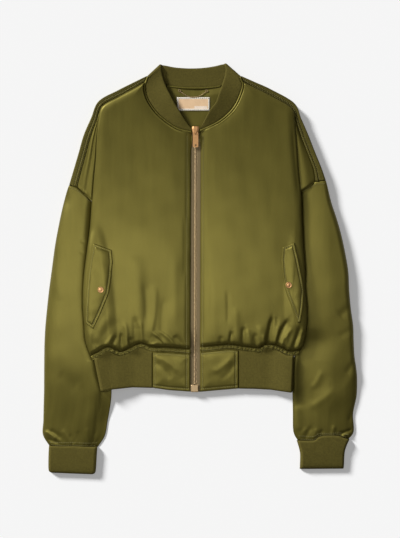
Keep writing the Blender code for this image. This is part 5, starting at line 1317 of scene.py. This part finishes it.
def make_sleeves():
    """The padded sleeves: flattened tubes with a thin gap between their two layers. Each station
    is three straight legs, from the inner edge to the body's edge, the middle and the outer
    edge, and the top's height follows along them."""
    for half in HALVES:
        node = f"sleeve_{half}"
        _, _, wadding, gathering = PHASES[half]
        rows = smooth(SLEEVE_ROWS[half], FRONT_STEP, (4, 5))
        control = rows[:, :8].reshape(-1, 4, 2)
        steps = np.diff(control, axis=1)
        place = np.concatenate([np.zeros((len(rows), 1)), np.cumsum(lengths(steps), axis=1)], 1)
        width, tuck = place[:, -1:], place[:, 1:2]
        spot = np.linspace(0, 1, SLEEVE_COLUMNS)[None, :] * width

        def at(distance):
            """Plan points at distances along each station's three legs."""
            points = control[:, 0:1]
            for k in range(3):
                start, end = place[:, k:k + 1], place[:, k + 1:k + 2]
                share = np.clip((distance - start) / (end - start), 0, 1)
                points = points + share[..., None] * steps[:, k:k + 1]
            return points

        plan = at(spot)
        y = control[:, 1, 1][:, None]
        down = np.linspace(0, 1, len(rows))[:, None]
        length = lengths(np.diff(control[:, 2], axis=0)).sum()
        to_cuff, to_seam = (1 - down) * length, down * length
        height, covered = sleeve_height(half, y, spot, width, rows[:, 8:9], to_seam)
        shift = read_at(smooth(CUFF_SEAM[half], 2.0), plan[-1, :, 0]) - plan[-1, :, 1]
        plan[..., 1] += shift * ease(1 - to_cuff / 26.0)
        shown = ease((spot - tuck) / 12.0) * covered + ease(spot / 8.0) * (1 - covered)
        rim = ease((width - spot) / 8.0)
        height = height + shown * rim * (
            fold_height(plan, SLEEVE_FOLDS[half]) + 0.4 * mottle(plan, 19.0, wadding)
            + gathers(spot, to_cuff, 9.0, 0.9, gathering))
        height = height - 2.4 * (1 - round_up(to_cuff, 4.0)) - 0.8 * (1 - ease(to_seam / 5.0))
        pucker = np.sin(spot * 1.05 + np.sin(spot * 0.3))
        height = height + 0.45 * pucker * bell(to_cuff - 4.5, 2.6) * rim * ease(spot / 8.0)
        height = np.maximum(height, 1.2)

        spots, turn = round_tube(spot, width, SLEEVE_BELOW, 2.0)
        on_floor = np.zeros((len(rows), len(SLEEVE_BELOW) - 1))
        heights = np.concatenate([height, height[:, -1:] * 0.35, on_floor], axis=1)
        outer_plan = at(spots)
        outer_plan[:, :SLEEVE_COLUMNS] = plan
        outer = lift_points(outer_plan, heights)
        squeezed = 5.0 + spots * (width - 13.0) / width
        upper_at = np.stack([np.interp(s, a, h) for s, a, h in zip(squeezed, spot, height)])
        half_slit = 0.15 + 1.1 * np.sin(np.pi * squeezed / width)
        side = slit_side(SLEEVE_COLUMNS, len(SLEEVE_BELOW))
        inner = lift_points(at(squeezed), 0.5 * upper_at + side * half_slit)
        uv = np.stack([turn, np.broadcast_to(-to_seam, turn.shape) * MM], axis=-1)
        make_cloth(f"{half}_sleeve", tube(outer, inner, uv), "satin", node, ["floor"])
        face = outer[:, 4:SLEEVE_COLUMNS - 4] + (0.0, 0.0, 0.1)
        sew(f"{half}_sleeve", [face[-2], face[-4], face[2]], node)


def ribs(distance, pitch, height):
    """Rounded ribs with narrow grooves: the root of a cosine wave keeps them full."""
    wave = np.abs(np.cos(np.pi * distance / pitch))
    return height * (np.sqrt(wave) - 0.75)


def make_cuffs():
    """The rib cuffs: flattened knit tubes with quarter-circle edges, ribbed along their top,
    that start at the seam of the sleeve's gathers."""
    pitch = length_of("rib_pitch")
    for half in HALVES:
        rows = smooth(CUFF_ROWS[half], 2.2)
        inner, outer, high = rows[:, 0:2], rows[:, 2:4], rows[:, 4:5]
        width = lengths(outer - inner)[:, None]
        mean = width.mean()
        share = np.linspace(0, 1, int(round(mean / pitch)) * 6 + 1)[None, :]
        spot = share * width
        edge = np.minimum(spot, width - spot)
        down = np.linspace(0, 1, len(rows))[:, None]
        height = 2.0 + (high - 2.0) * round_up(edge, 6.0)
        height = height + ribs(share * mean, mean / round(mean / pitch), 0.4) * ease(edge / 2.0)
        height = height + 0.06 * np.sin(share * 23 + 2) * ease((1 - down) * 2)
        height = height - 2.0 * (1 - round_up(down * 52.0, 3.0))
        spots, turn = round_tube(spot, width, CUFF_BELOW, 0.0)
        heights = np.concatenate([height, np.zeros((len(rows), len(CUFF_BELOW)))], axis=1)
        top = ruled_at(inner, outer, spots / width)
        shift = read_at(smooth(CUFF_SEAM[half], 2.0), top[0, :, 0]) + 1.0 - top[0, :, 1]
        top[..., 1] += np.maximum(shift, -0.4) * ease(1 - down / 0.55)
        squeezed = 4.0 + spots * (width - 8.0) / width
        side = slit_side(share.size, len(CUFF_BELOW))
        hollow = lift_points(ruled_at(inner, outer, squeezed / width), high * 0.5 + side * 0.5)
        uv = np.stack([turn, np.broadcast_to(-down * 54.0 * MM, turn.shape)], axis=-1)
        part = tube(lift_points(top, heights), hollow, uv)
        make_cloth(f"{half}_cuff", part, "rib", f"cuff_{half}", ["floor"])


def band_lift(x, side, tuck):
    """Height of the band's underside at X over a tucked sleeve."""
    return ride_over(np.abs(x - side), tuck, 2.2 * LEAD_IN) * (tuck > 0)


def band_path(row):
    """The band's middle line at its top or bottom edge, as X, Z and the way that its outer face
    looks: from the left tab along the front, round the side as half an ellipse, across the back,
    and round the other side to the right tab."""
    step = length_of("rib_pitch") / 6
    right_bend = BAND_SIDE["right"][row] - BAND_BEND
    found = []
    for half in HALVES:
        way, side = WAY[half], BAND_SIDE[half][row]
        bend = side + way * BAND_BEND
        tuck = tuck_at(half, BAND_LEVELS[row])
        puff = BAND_PUFF[half]
        count = int(abs(BAND_SIDE[half][0] - TAB_END[half]) / step)
        x = np.linspace(TAB_END[half] - way * 0.4, bend, count)
        from_bend = (bend - x) * way
        lift = band_lift(x, side, tuck) + puff * ease((from_bend + PUFF_REACH) / PUFF_REACH)
        flat = np.stack([x, lift + 1.5 * KNIT + 0.45, np.zeros(count), np.ones(count)], 1)
        turn = np.linspace(math.pi / 2, -math.pi / 2, 26)[1:-1]
        centre = band_lift(np.array([bend]), side, tuck)[0] + KNIT + SEAT
        arc = np.stack([bend - way * (KNIT / 2 + 0.5) * np.cos(turn),
                        centre + puff / 2 + (KNIT / 2 + 0.15 + puff / 2) * np.sin(turn),
                        -way * np.cos(turn), np.sin(turn)], axis=1)
        front = np.concatenate([flat, arc])
        found.append(front if half == "left" else front[::-1])
        if half == "left":
            count = int((BAND_SIDE["right"][0] - BAND_SIDE["left"][0]) / step)
            x = np.linspace(bend, right_bend, count)
            lift = np.where(x < 0, band_lift(x, side, tuck), 0.0)
            found.append(np.stack([x, lift + 0.5 * KNIT, np.zeros(count), -np.ones(count)], 1))
    return np.concatenate(found)


def make_hem_band():
    """The rib band round the hem: straight between its top and bottom lines, half a knit thick
    to either side, with quarter circles at both edges and ribs on its outer face."""
    pitch = length_of("rib_pitch")
    top, bottom = band_path(0), band_path(1)
    seam = np.where(top[:, 0] < -9.0, hem_seam_at("left", top[:, 0]),
                    hem_seam_at("right", top[:, 0])) - 0.4
    low = read_at(HEM_BOTTOM, bottom[:, 0])
    share = np.array(BAND_DOWN)[:, None]
    x = top[:, 0] + (bottom[:, 0] - top[:, 0]) * share
    y = seam + (low - seam) * share
    z = top[:, 1] + (bottom[:, 1] - top[:, 1]) * share
    normal = np.stack([top[:, 2], np.zeros(len(top)), top[:, 3]], axis=1)[None]
    middle = np.stack([x, y, z], axis=-1)
    length = distances(np.hypot(np.diff(top[:, 0]), np.diff(top[:, 1])))
    from_end, from_seam = (1 - share) * BAND_WIDE, share * BAND_WIDE
    half_thick = 0.4 + (KNIT / 2 - 0.4) * round_up(from_end, 3.0) * round_up(from_seam + 0.6, 3.0)
    outward = half_thick + ribs(length[None, :], pitch, 0.38) * ease(from_end / 2)
    on_floor = top[None, :, 3] < -0.5
    outward = np.where(on_floor, KNIT / 2, outward)
    outer = middle + normal * outward[..., None]
    inner = middle - normal * (half_thick * np.ones(len(top)))[..., None]
    uv = np.stack([np.broadcast_to(length, x.shape), y], axis=-1) * MM
    make_cloth("hem_band", wall(outer, inner, uv), "rib", "hem_rib", ["floor"])


def make_hem_tabs():
    """The satin ends of the hem band: quarter circles at their edges and a softly padded middle,
    with stitched grooves, a slanting fold and a trough."""
    for half in HALVES:
        way, end, front_end = WAY[half], TAB_END[half], BODY_WIDE[half]
        seam_line, low_line, end_line = TAB_LINES
        x = np.linspace(end, front_end, TAB_POINTS)
        seam, low = hem_seam_at(half, x) - 0.4, read_at(HEM_BOTTOM, x)
        y = seam + (low - seam) * np.linspace(0, 1, TAB_POINTS)[:, None]
        plan = np.stack([np.broadcast_to(x, y.shape), y], axis=-1)
        to_end, to_zip = (np.abs(plan[..., 0] - side) for side in (end, front_end))
        to_seam, to_low = seam - y, y - low
        nearest = np.minimum(np.minimum(to_end, to_zip), np.minimum(to_seam, to_low))
        rise = 0.8 + 3.4 * round_up(nearest, 3.0) + 1.8 * round_up(nearest - 6.0, 20.0)
        for gap, line in ((to_low, low_line), (to_zip, PLACKET[half]), (to_end, end_line),
                          (to_seam, seam_line)):
            rise = rise - 0.8 * bell(gap - line, 1.1) * ease(nearest / 4)
        rise = rise + 0.35 * mottle(plan, 9.0, 3.0) * ease(nearest / 8)
        rise = rise + fold_height(plan, (
            (end + way * 12, -166, end + way * 50, -196, 3, 5, 6, 1.0, 0),
            (end + way * 6, -176, end + way * 36, -210, 3, 5, 6, -0.9, 0)))
        base = np.full(y.shape, KNIT + 0.6)
        top = base + np.maximum(rise, 0.6)
        make_cloth(f"{half}_hem_tab", padded(plan, top, base), "satin", f"hem_tab_{half}",
                   ["hem_rib"])
        along = [np.stack([x, line], 1)[1:-1] for line in (seam - seam_line, low + low_line)]
        fall = np.linspace(seam.mean() - 2, low.mean() + 2, 30)
        across = [np.stack([np.full(30, k), fall], 1)
                  for k in (end + way * end_line, front_end - way * PLACKET[half])]
        face = lift_points(plan, top)
        sew(f"{half}_hem_tab", [on_surface(face, even(line, 1.2)) for line in along + across],
            f"hem_tab_{half}")


def offset_line(line, distance, half):
    """A line moved sideways towards the neck opening."""
    run = np.gradient(line, axis=0)
    run /= lengths(run)[:, None]
    return line - distance * WAY[half] * np.stack([-run[:, 1], run[:, 0]], axis=1)


def neck_edge(half):
    """The front's neck seam from the zip up to the shoulder strip."""
    x0, y0, x1, y1 = STRIP_ROWS[half][0]
    top = [(x1, y1), (x0 * 0.9 + x1 * 0.1, y0 - 1.0)]
    return smooth(np.concatenate([rows_of(half)[:NECK_ROWS, 2:][::-1], top]), 2.0)


def collar_front(half):
    """Seam, free edge and normals of the collar over a front, from the zip to the neck point.
    The free edge rises from the zip and comes down again towards the fold."""
    free = smooth(COLLAR_FREE[half], 1.5)
    seam = even(offset_line(neck_edge(half), PIPING, half), count=len(free))
    drop = ease((free[:, 1] - 320.0) / 60.0)
    high = 14.0 + 6.6 * ease((free[:, 1] - 268.0) / 30.0) - 10.6 * drop
    return lift_points(seam, COLLAR_SEAM), lift_points(free, high), upright(len(free))


def collar_fold(half):
    """Seam, free edge and normals of the collar's fold at a neck point: half ellipses, from the
    front's layer down to the back's."""
    base, tip = np.array(COLLAR_POINT[half], float)
    along = (tip - base) / np.hypot(*(tip - base))
    across = np.array([-along[1], along[0]]) * WAY[half]
    a = np.linspace(math.pi / 2, -math.pi / 2, 14)
    a = a if half == "left" else a[::-1]
    flat = [point - across * COLLAR_TURN + across * (COLLAR_TURN - KNIT / 2) * np.cos(a)[:, None]
            for point in (base, tip)]
    flat[1] = flat[1] + (0.5 - 0.5 * np.sin(a))[:, None] * (WAY[half] * 1.6, 2.4)
    seam, free = (lift_points(line, (high + COLLAR_LOW) / 2 + (high - COLLAR_LOW) / 2 * np.sin(a))
                  for line, high in zip(flat, COLLAR_FOLDS))
    return seam, free, np.stack([across[0] * np.cos(a), across[1] * np.cos(a), np.sin(a)], 1)


def collar_back():
    """Seam, free edge and normals of the collar's back layer, which lies below."""
    rows = smooth(COLLAR_BACK, 1.5)
    return (lift_points(rows[:, :2], COLLAR_LOW), lift_points(rows[:, 2:], COLLAR_LOW),
            -upright(len(rows)))


def make_collar():
    """The rib band round the neck: front, fold at the neck point, back, fold, front. Each
    station is a straight line from the seam to the free edge, half a knit thick to either side
    along its normal, with quarter circles at both edges and ribs all round."""
    pitch = length_of("rib_pitch")
    stretches = (collar_front("left"), collar_fold("left"), collar_back(), collar_fold("right"),
                 [part[::-1] for part in collar_front("right")])
    line = np.concatenate([np.concatenate(parts) for parts in zip(*stretches)], axis=1)
    along = distances(lengths(np.diff((line[:, :3] + line[:, 3:6]) / 2, axis=0)))
    spots = np.arange(0, along[-1], pitch / 6)
    line = at_spots(spots, along, line)
    normal = line[:, 6:] / lengths(line[:, 6:])[:, None]
    share = np.concatenate([[0, 0.02, 0.05, 0.1], np.linspace(0.18, 0.82, 8),
                            [0.9, 0.95, 0.98, 1.0]])[:, None, None]
    middle = line[None, :, :3] * (1 - share) + line[None, :, 3:6] * share
    wide = lengths(line[:, :3] - line[:, 3:6])[None, :]
    from_free, from_seam = (1 - share[..., 0]) * wide, share[..., 0] * wide
    thick = 0.5 + (KNIT / 2 - 0.5) * round_up(from_free, 3.2) * round_up(from_seam + 0.8, 3.0)
    rib = ribs(spots[None, :], pitch, 0.34) * ease(from_free / 1.5) * ease(from_seam + 0.2)
    outer = middle + normal * (thick + rib)[..., None]
    inner = middle - normal * (thick + rib * 0.8)[..., None]
    uv = np.stack([np.broadcast_to(spots, from_seam.shape), from_seam], axis=-1) * MM
    make_cloth("rib_collar", wall(outer, inner, uv), "rib", "collar", ["back"])


def make_piping():
    """The turned satin edges below the collar, half round, each beside a dark seam."""
    share = np.linspace(0.02, 0.98, 9)
    for half in HALVES:
        edge = neck_edge(half)
        plan = np.stack([offset_line(edge, PIPING * s, half) for s in share], axis=1)
        bulge = PIPING_HIGH * np.sqrt(np.maximum(1 - (2 * share - 1) ** 2, 0)) ** 0.7
        part = padded(plan, MID + 0.6 + bulge, MID + SEAT)
        make_cloth(f"{half}_neck_piping", part, "satin", f"neck_piping_{half}", ["back"])


def make_flaps():
    """The pocket flaps, on the fronts' own faces: a rounded edge, a stitched groove as a bell
    and a softly padded middle."""
    for half in HALVES:
        node = f"pocket_flap_{half}"
        rows = np.array(FLAP[half], float)
        rows = even_rows(at_spots(np.linspace(0, 5, 400), np.arange(6), rows), 1.3)
        plan = ruled(rows[:, :2], rows[:, 2:], 36)
        nearest, _ = away(plan, np.concatenate([rows[:, :2], rows[::-1, 2:], rows[:1, :2]]))
        base = front_height(plan, half) + 0.5
        rise = 1.1 + 1.7 * round_up(nearest, 1.4) - 0.8 * bell(nearest - FLAP_GROOVE, 0.9)
        rise = rise + 1.3 * round_up(nearest - 5.5, 12.0) + 0.4 * mottle(plan, 8.0, 5.0) * ease(
            nearest / 8)
        top = base + rise
        make_cloth(f"{half}_pocket_flap", padded(plan, top, base), "satin", node,
                   [f"front_{half}"])
        rows = rows[3:-3]
        wide = lengths(rows[:, 2:] - rows[:, :2])[:, None]
        across = (rows[:, 2:] - rows[:, :2]) / wide
        sides = [rows[:, :2] + across * run for run in (FLAP_STITCHES, wide - FLAP_STITCHES)]
        ends = ruled(sides[0][[0, -1]], sides[1][[0, -1]], 30)
        face = lift_points(plan, top)
        sew(f"{half}_pocket_flap", [on_surface(face, even(line, 1.2)) for line in (*sides, *ends)],
            node)


def make_snaps():
    """Domed snap caps: a lathed profile with a rolled rim and a ring pressed round a boss."""
    profile = even(smooth(SNAP_PROFILE, 0.2), count=26)
    turn = np.linspace(0, 2 * math.pi, 48, endpoint=False)
    circle = np.stack([np.cos(turn), np.sin(turn)], axis=1)
    for half in HALVES:
        x, y = SNAP[half]
        base = front_height(np.array([[x, y]]) + SNAP_REST * circle, half).max() + SNAP_RISE
        rings = np.stack([x + profile[:, :1] * circle[:, 0], y + profile[:, :1] * circle[:, 1],
                          np.broadcast_to(base + profile[:, 1:2], (26, 48))], axis=-1)
        floor = rings * (1.0, 1.0, 0.0) + (0.0, 0.0, base - SNAP_SUNK)
        uv = rings[..., :2] * MM
        part = tube(rings, floor, np.concatenate([uv, uv[:, :1]], axis=1))
        make_piece(f"{half}_snap", part, "copper", f"snap_{half}")


def zip_x(y):
    """X of the zip's middle at a height Y."""
    return read_at(ZIP_MIDDLE, y)


def zip_layer(y):
    """Height of what the zip lies on at a height Y: lower at the hem."""
    return 5.6 + (MID - 5.6) * ease((y + 160.0) / 52.0)


def make_tapes():
    """The zip's tapes: thin strips from beside the teeth to just under the fronts."""
    y = np.linspace(*TAPE_ENDS, 240)
    share = np.linspace(0, 1, 8)[None, :]
    for half in HALVES:
        near = zip_x(y) - WAY[half] * (ZIP_HALF - 2.6)
        far = zip_edge_at(half, y) - WAY[half] * 1.2
        plan = ruled(np.stack([near, y], axis=1), np.stack([far, y], axis=1), 8)
        base = np.broadcast_to(zip_layer(y)[:, None] + SEAT, plan.shape[:2])
        top = base + 0.4 + 0.7 * round_up(np.minimum(share, 1 - share) * 9.0, 1.0)
        make_cloth(f"{half}_zip_tape", padded(plan, top, base), "tape", f"zip_tape_{half}",
                   ["back"])


def make_zip():
    """The tapes, and the teeth as two rows of small blocks that mesh with each other."""
    make_tapes()
    pitch = length_of("tooth_pitch")
    x, wide, high = np.array(TOOTH).T
    wide, root = wide * pitch / 2, np.zeros(4)
    ring = np.stack([np.stack(corner, 1) for corner in (
        (x, -wide, root), (x, wide, root), (x, wide * 0.8, high), (x, -wide * 0.8, high))], 1)
    spots, _ = squares(4, 4, True)
    faces = np.concatenate([spots, [[0, 1, 2, 3], [15, 14, 13, 12]]])
    parts = []
    for way, start in ((1.0, 0.0), (-1.0, 0.5)):
        y = np.arange(TEETH_ENDS[0] + start * pitch, TEETH_ENDS[1], pitch)
        origin = np.stack([zip_x(y) - way, y, zip_layer(y) + 0.9], axis=1)
        along = np.tile((way, 0.0, 0.0), (len(y), 1))
        parts.append(stamped(ring.reshape(-1, 3), faces, origin, along, upright(len(y))))
    make_piece("zip_teeth", joined(parts), "brass", "zip_chain")


def make_binding():
    """The satin binding over the back neck seam: half round across, with faint waves along."""
    x = np.linspace(*BINDING, 60)
    y = read_at(smooth(NAPE_LINE, 3.0), x) + 0.2
    share = np.linspace(-1, 1, 9)
    plan = np.stack([np.broadcast_to(x[:, None], (60, 9)),
                     y[:, None] + BINDING_HALF * share], axis=-1)
    round_over = BINDING_HALF * np.sqrt(np.maximum(1 - share ** 2, 0))[None, :]
    top = BINDING_BASE + 0.3 + round_over + 0.15 * np.sin(x * 1.3)[:, None]
    make_cloth("nape_binding", padded(plan, top, BINDING_BASE), "satin", "neck_binding",
               ["back"])


def make_label():
    """The blank woven label, sewn to the back's inner face: thin, with a rounded edge."""
    (x0, y0), (x1, y1) = LABEL
    plan = np.stack(np.meshgrid(np.linspace(x0, x1, 40), np.linspace(y1, y0, 18)), axis=-1)
    nearest = np.minimum(np.minimum(plan[..., 0] - x0, x1 - plan[..., 0]),
                         np.minimum(plan[..., 1] - y0, y1 - plan[..., 1]))
    base = nape_height(plan[..., 1]) + 0.7
    top = base + 0.25 + 0.45 * round_up(nearest, 1.2) + 0.15 * mottle(plan, 7.0, 1.0)
    make_cloth("blank_label", padded(plan, top, base), "label", "neck_label", ["back"])
    face = lift_points(plan, top + 0.1)
    sew("label", [face[1, 1:-1], face[-2, 1:-1], face[1:-1, 1], face[1:-1, -2]], "neck_label")


def make_hanger():
    """The hanger chain: oval links of round wire along a parabola between the rings, each a
    quarter turn from the last."""
    share = np.linspace(0, 1, 200)
    start, end = (np.array(RING[half]) + RING_REACH * np.array([WAY[half] * 0.75, -0.66])
                  for half in HALVES)
    line = start + (end - start) * share[:, None]
    line[:, 1] -= CHAIN_SAG * 4 * share * (1 - share)
    line = even(line, step=LINK_PITCH)
    path = lift_points(line, nape_height(line[:, 1]) + 1.7)
    turn = np.linspace(0, 2 * math.pi, 10, endpoint=False)
    around = np.linspace(0, 2 * math.pi, 4, endpoint=False)
    out = np.stack([np.cos(turn), np.sin(turn), np.zeros(10)], axis=1)
    wire = (np.cos(around)[None, :, None] * out[:, None]
            + np.sin(around)[None, :, None] * np.array([0, 0, 1.0]))
    rings = (out * (1.15, 0.62, 0.0))[:, None] + 0.24 * wire
    spots, _ = squares(11, 4, True)
    faces = np.where(spots >= 40, spots - 40, spots)
    along = np.gradient(path, axis=0)
    flat = upright(len(path))
    side = np.cross(flat, along)
    even_link = (np.arange(len(path)) % 2 == 0)[:, None]
    up = np.where(even_link, flat * 0.9 + side * 0.25, side + flat * 0.5)
    part = stamped(rings.reshape(-1, 3), faces, path, along, up)
    make_piece("hanger_links", part, "brass", "hanger_chain")


def make_metalwork():
    """Better metal for the slider, pull tab, box and rings."""
    for node, kind in (("zip_slider", "copper"), ("pull_tab", "copper"), ("zip_box", "brass"),
                       ("hanger_ring_left", "brass"), ("hanger_ring_right", "brass")):
        shown = frame["nodes"][node]
        lit_pieces().objects.link(shown)
        for slot in shown.material_slots:
            slot.material = finish_of(kind)


# ---------------------------------------------------------------- the add-on

def size_property(name, description, default, least, most, **kind):
    """A number in the panel, with its limits."""
    return bpy.props.FloatProperty(name=name, description=description, default=default,
                                   min=least, max=most, **kind)


def length_property(name, description, default, least, most):
    """A length in the panel, in metres."""
    return size_property(name, description, default, least, most, subtype="DISTANCE",
                         unit="LENGTH")


def colour_property(name, description, default):
    """A colour in the panel."""
    return bpy.props.FloatVectorProperty(name=name, description=description, default=default,
                                         subtype="COLOR", size=3, min=0.0, max=1.0)


class JacketSizes(bpy.types.PropertyGroup):
    """Sizes of the jacket's pieces and of its light."""
    front_full: length_property(
        "Front padding", "Thickness of a front where the wadding is full", 0.0115, 0.006, 0.016)
    rib_pitch: length_property("Rib pitch", "From one knit rib to the next", 0.0020, 0.0015, 0.006)
    stitch: length_property("Stitch length", "From one stitch to the next", 0.0036, 0.002, 0.008)
    tooth_pitch: length_property(
        "Tooth pitch", "From one zip tooth to the next on the same tape", 0.0024, 0.0015, 0.004)
    window_light: size_property(
        "Window light", "Strength of the light from the upper left", 5.2, 0.0, 20.0)
    strip_light: size_property(
        "Strip light", "Power of the strip light above the jacket", 3.5, 0.0, 100.0,
        subtype="POWER")
    room_light: size_property("Room light", "Strength of the light from all round", 0.12, 0.0, 2.0)
    floor_glow: size_property(
        "Floor glow", "Light of the floor's own, as of a light table", 0.25, 0.0, 1.0)


class JacketColours(bpy.types.PropertyGroup):
    """Colours of the jacket's materials."""
    satin: colour_property("Satin", "Shell of the jacket", (0.118, 0.100, 0.0195))
    rib: colour_property("Rib knit", "Collar, cuffs and hem band", (0.080, 0.066, 0.0140))
    tape: colour_property("Zip tape", "Woven tape of the zip", (0.132, 0.094, 0.037))
    thread: colour_property("Thread", "Topstitching", (0.20, 0.175, 0.05))
    brass: colour_property("Brass", "Zip teeth, chain and rings", (0.47, 0.34, 0.19))
    copper: colour_property("Copper", "Slider, pull tab and snaps", (0.50, 0.285, 0.125))
    label_ground: colour_property("Label", "Ground of the label", (0.62, 0.42, 0.24))
    label_border: colour_property("Label border", "Border of the label", (0.74, 0.68, 0.60))
    floor: colour_property("Floor", "Floor under the jacket", (0.90, 0.90, 0.90))


def jacket_operator(name, label, words, maker):
    """An operator that makes one piece, or one group of like pieces."""
    def execute(self, context):
        """Runs the maker, which raises an error where it can't finish."""
        maker()
        return {"FINISHED"}
    return type("JACKET_OT_" + name, (bpy.types.Operator,), {
        "__doc__": words, "bl_idname": "jacket." + name, "bl_label": label, "execute": execute})


OPERATORS = [jacket_operator(*row) for row in (
    ("stage", "Stage", "Floor, light and camera", make_stage),
    ("back", "Back", "Back panel", make_back),
    ("fronts", "Fronts", "Both fronts with their drop-shoulder parts", make_fronts),
    ("strips", "Shoulder strips", "Strips along the shoulders", make_strips),
    ("sleeves", "Sleeves", "Padded sleeves", make_sleeves),
    ("cuffs", "Cuffs", "Rib cuffs", make_cuffs),
    ("hem_band", "Hem band", "Rib band round the hem", make_hem_band),
    ("hem_tabs", "Hem tabs", "Satin ends of the hem band", make_hem_tabs),
    ("collar", "Collar", "Rib collar", make_collar),
    ("piping", "Neck piping", "Turned edges below the collar", make_piping),
    ("flaps", "Pocket flaps", "Pocket flaps", make_flaps),
    ("snaps", "Snaps", "Snap caps on the flaps", make_snaps),
    ("zip", "Zip", "Zip tapes and teeth", make_zip),
    ("binding", "Neck binding", "Binding over the back neck seam", make_binding),
    ("label", "Label", "Blank woven label", make_label),
    ("hanger", "Hanger chain", "Chain between two rings", make_hanger),
    ("metalwork", "Metalwork", "Metal of the slider, tab, box and rings", make_metalwork),
)]


class JACKET_PT_panel(bpy.types.Panel):
    """Sizes, colours and makers of the jacket."""
    bl_label = "Bomber Jacket"
    bl_idname = "JACKET_PT_panel"
    bl_space_type = "VIEW_3D"
    bl_region_type = "UI"
    bl_category = "Jacket"

    def draw(self, context):
        """Lists the sizes and colours, and then the operators."""
        for group in (context.scene.jacket_sizes, context.scene.jacket_colours):
            for name in group.__annotations__:
                self.layout.prop(group, name)
        for operator in OPERATORS:
            self.layout.operator(operator.bl_idname)


CLASSES = [JacketSizes, JacketColours, *OPERATORS, JACKET_PT_panel]


def register():
    """Registers every class, and gives the scene its sizes and colours."""
    for cls in CLASSES:
        bpy.utils.register_class(cls)
    bpy.types.Scene.jacket_sizes = bpy.props.PointerProperty(type=JacketSizes)
    bpy.types.Scene.jacket_colours = bpy.props.PointerProperty(type=JacketColours)


def unregister():
    """Takes it all back, in the opposite order."""
    del bpy.types.Scene.jacket_colours
    del bpy.types.Scene.jacket_sizes
    for cls in reversed(CLASSES):
        bpy.utils.unregister_class(cls)


def plain(box):
    """A box as plain lists of numbers."""
    return [[float(v) for v in corner] for corner in box]


def main():
    """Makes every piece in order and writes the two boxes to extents.json."""
    register()
    for operator in OPERATORS:
        getattr(bpy.ops.jacket, operator.bl_idname.split(".")[1])()
    with open("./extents.json", "w") as out:
        json.dump({"cad": plain(CAD_BOX), "visual": plain(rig.bounds())}, out)


if __name__ == "__main__":
    main()
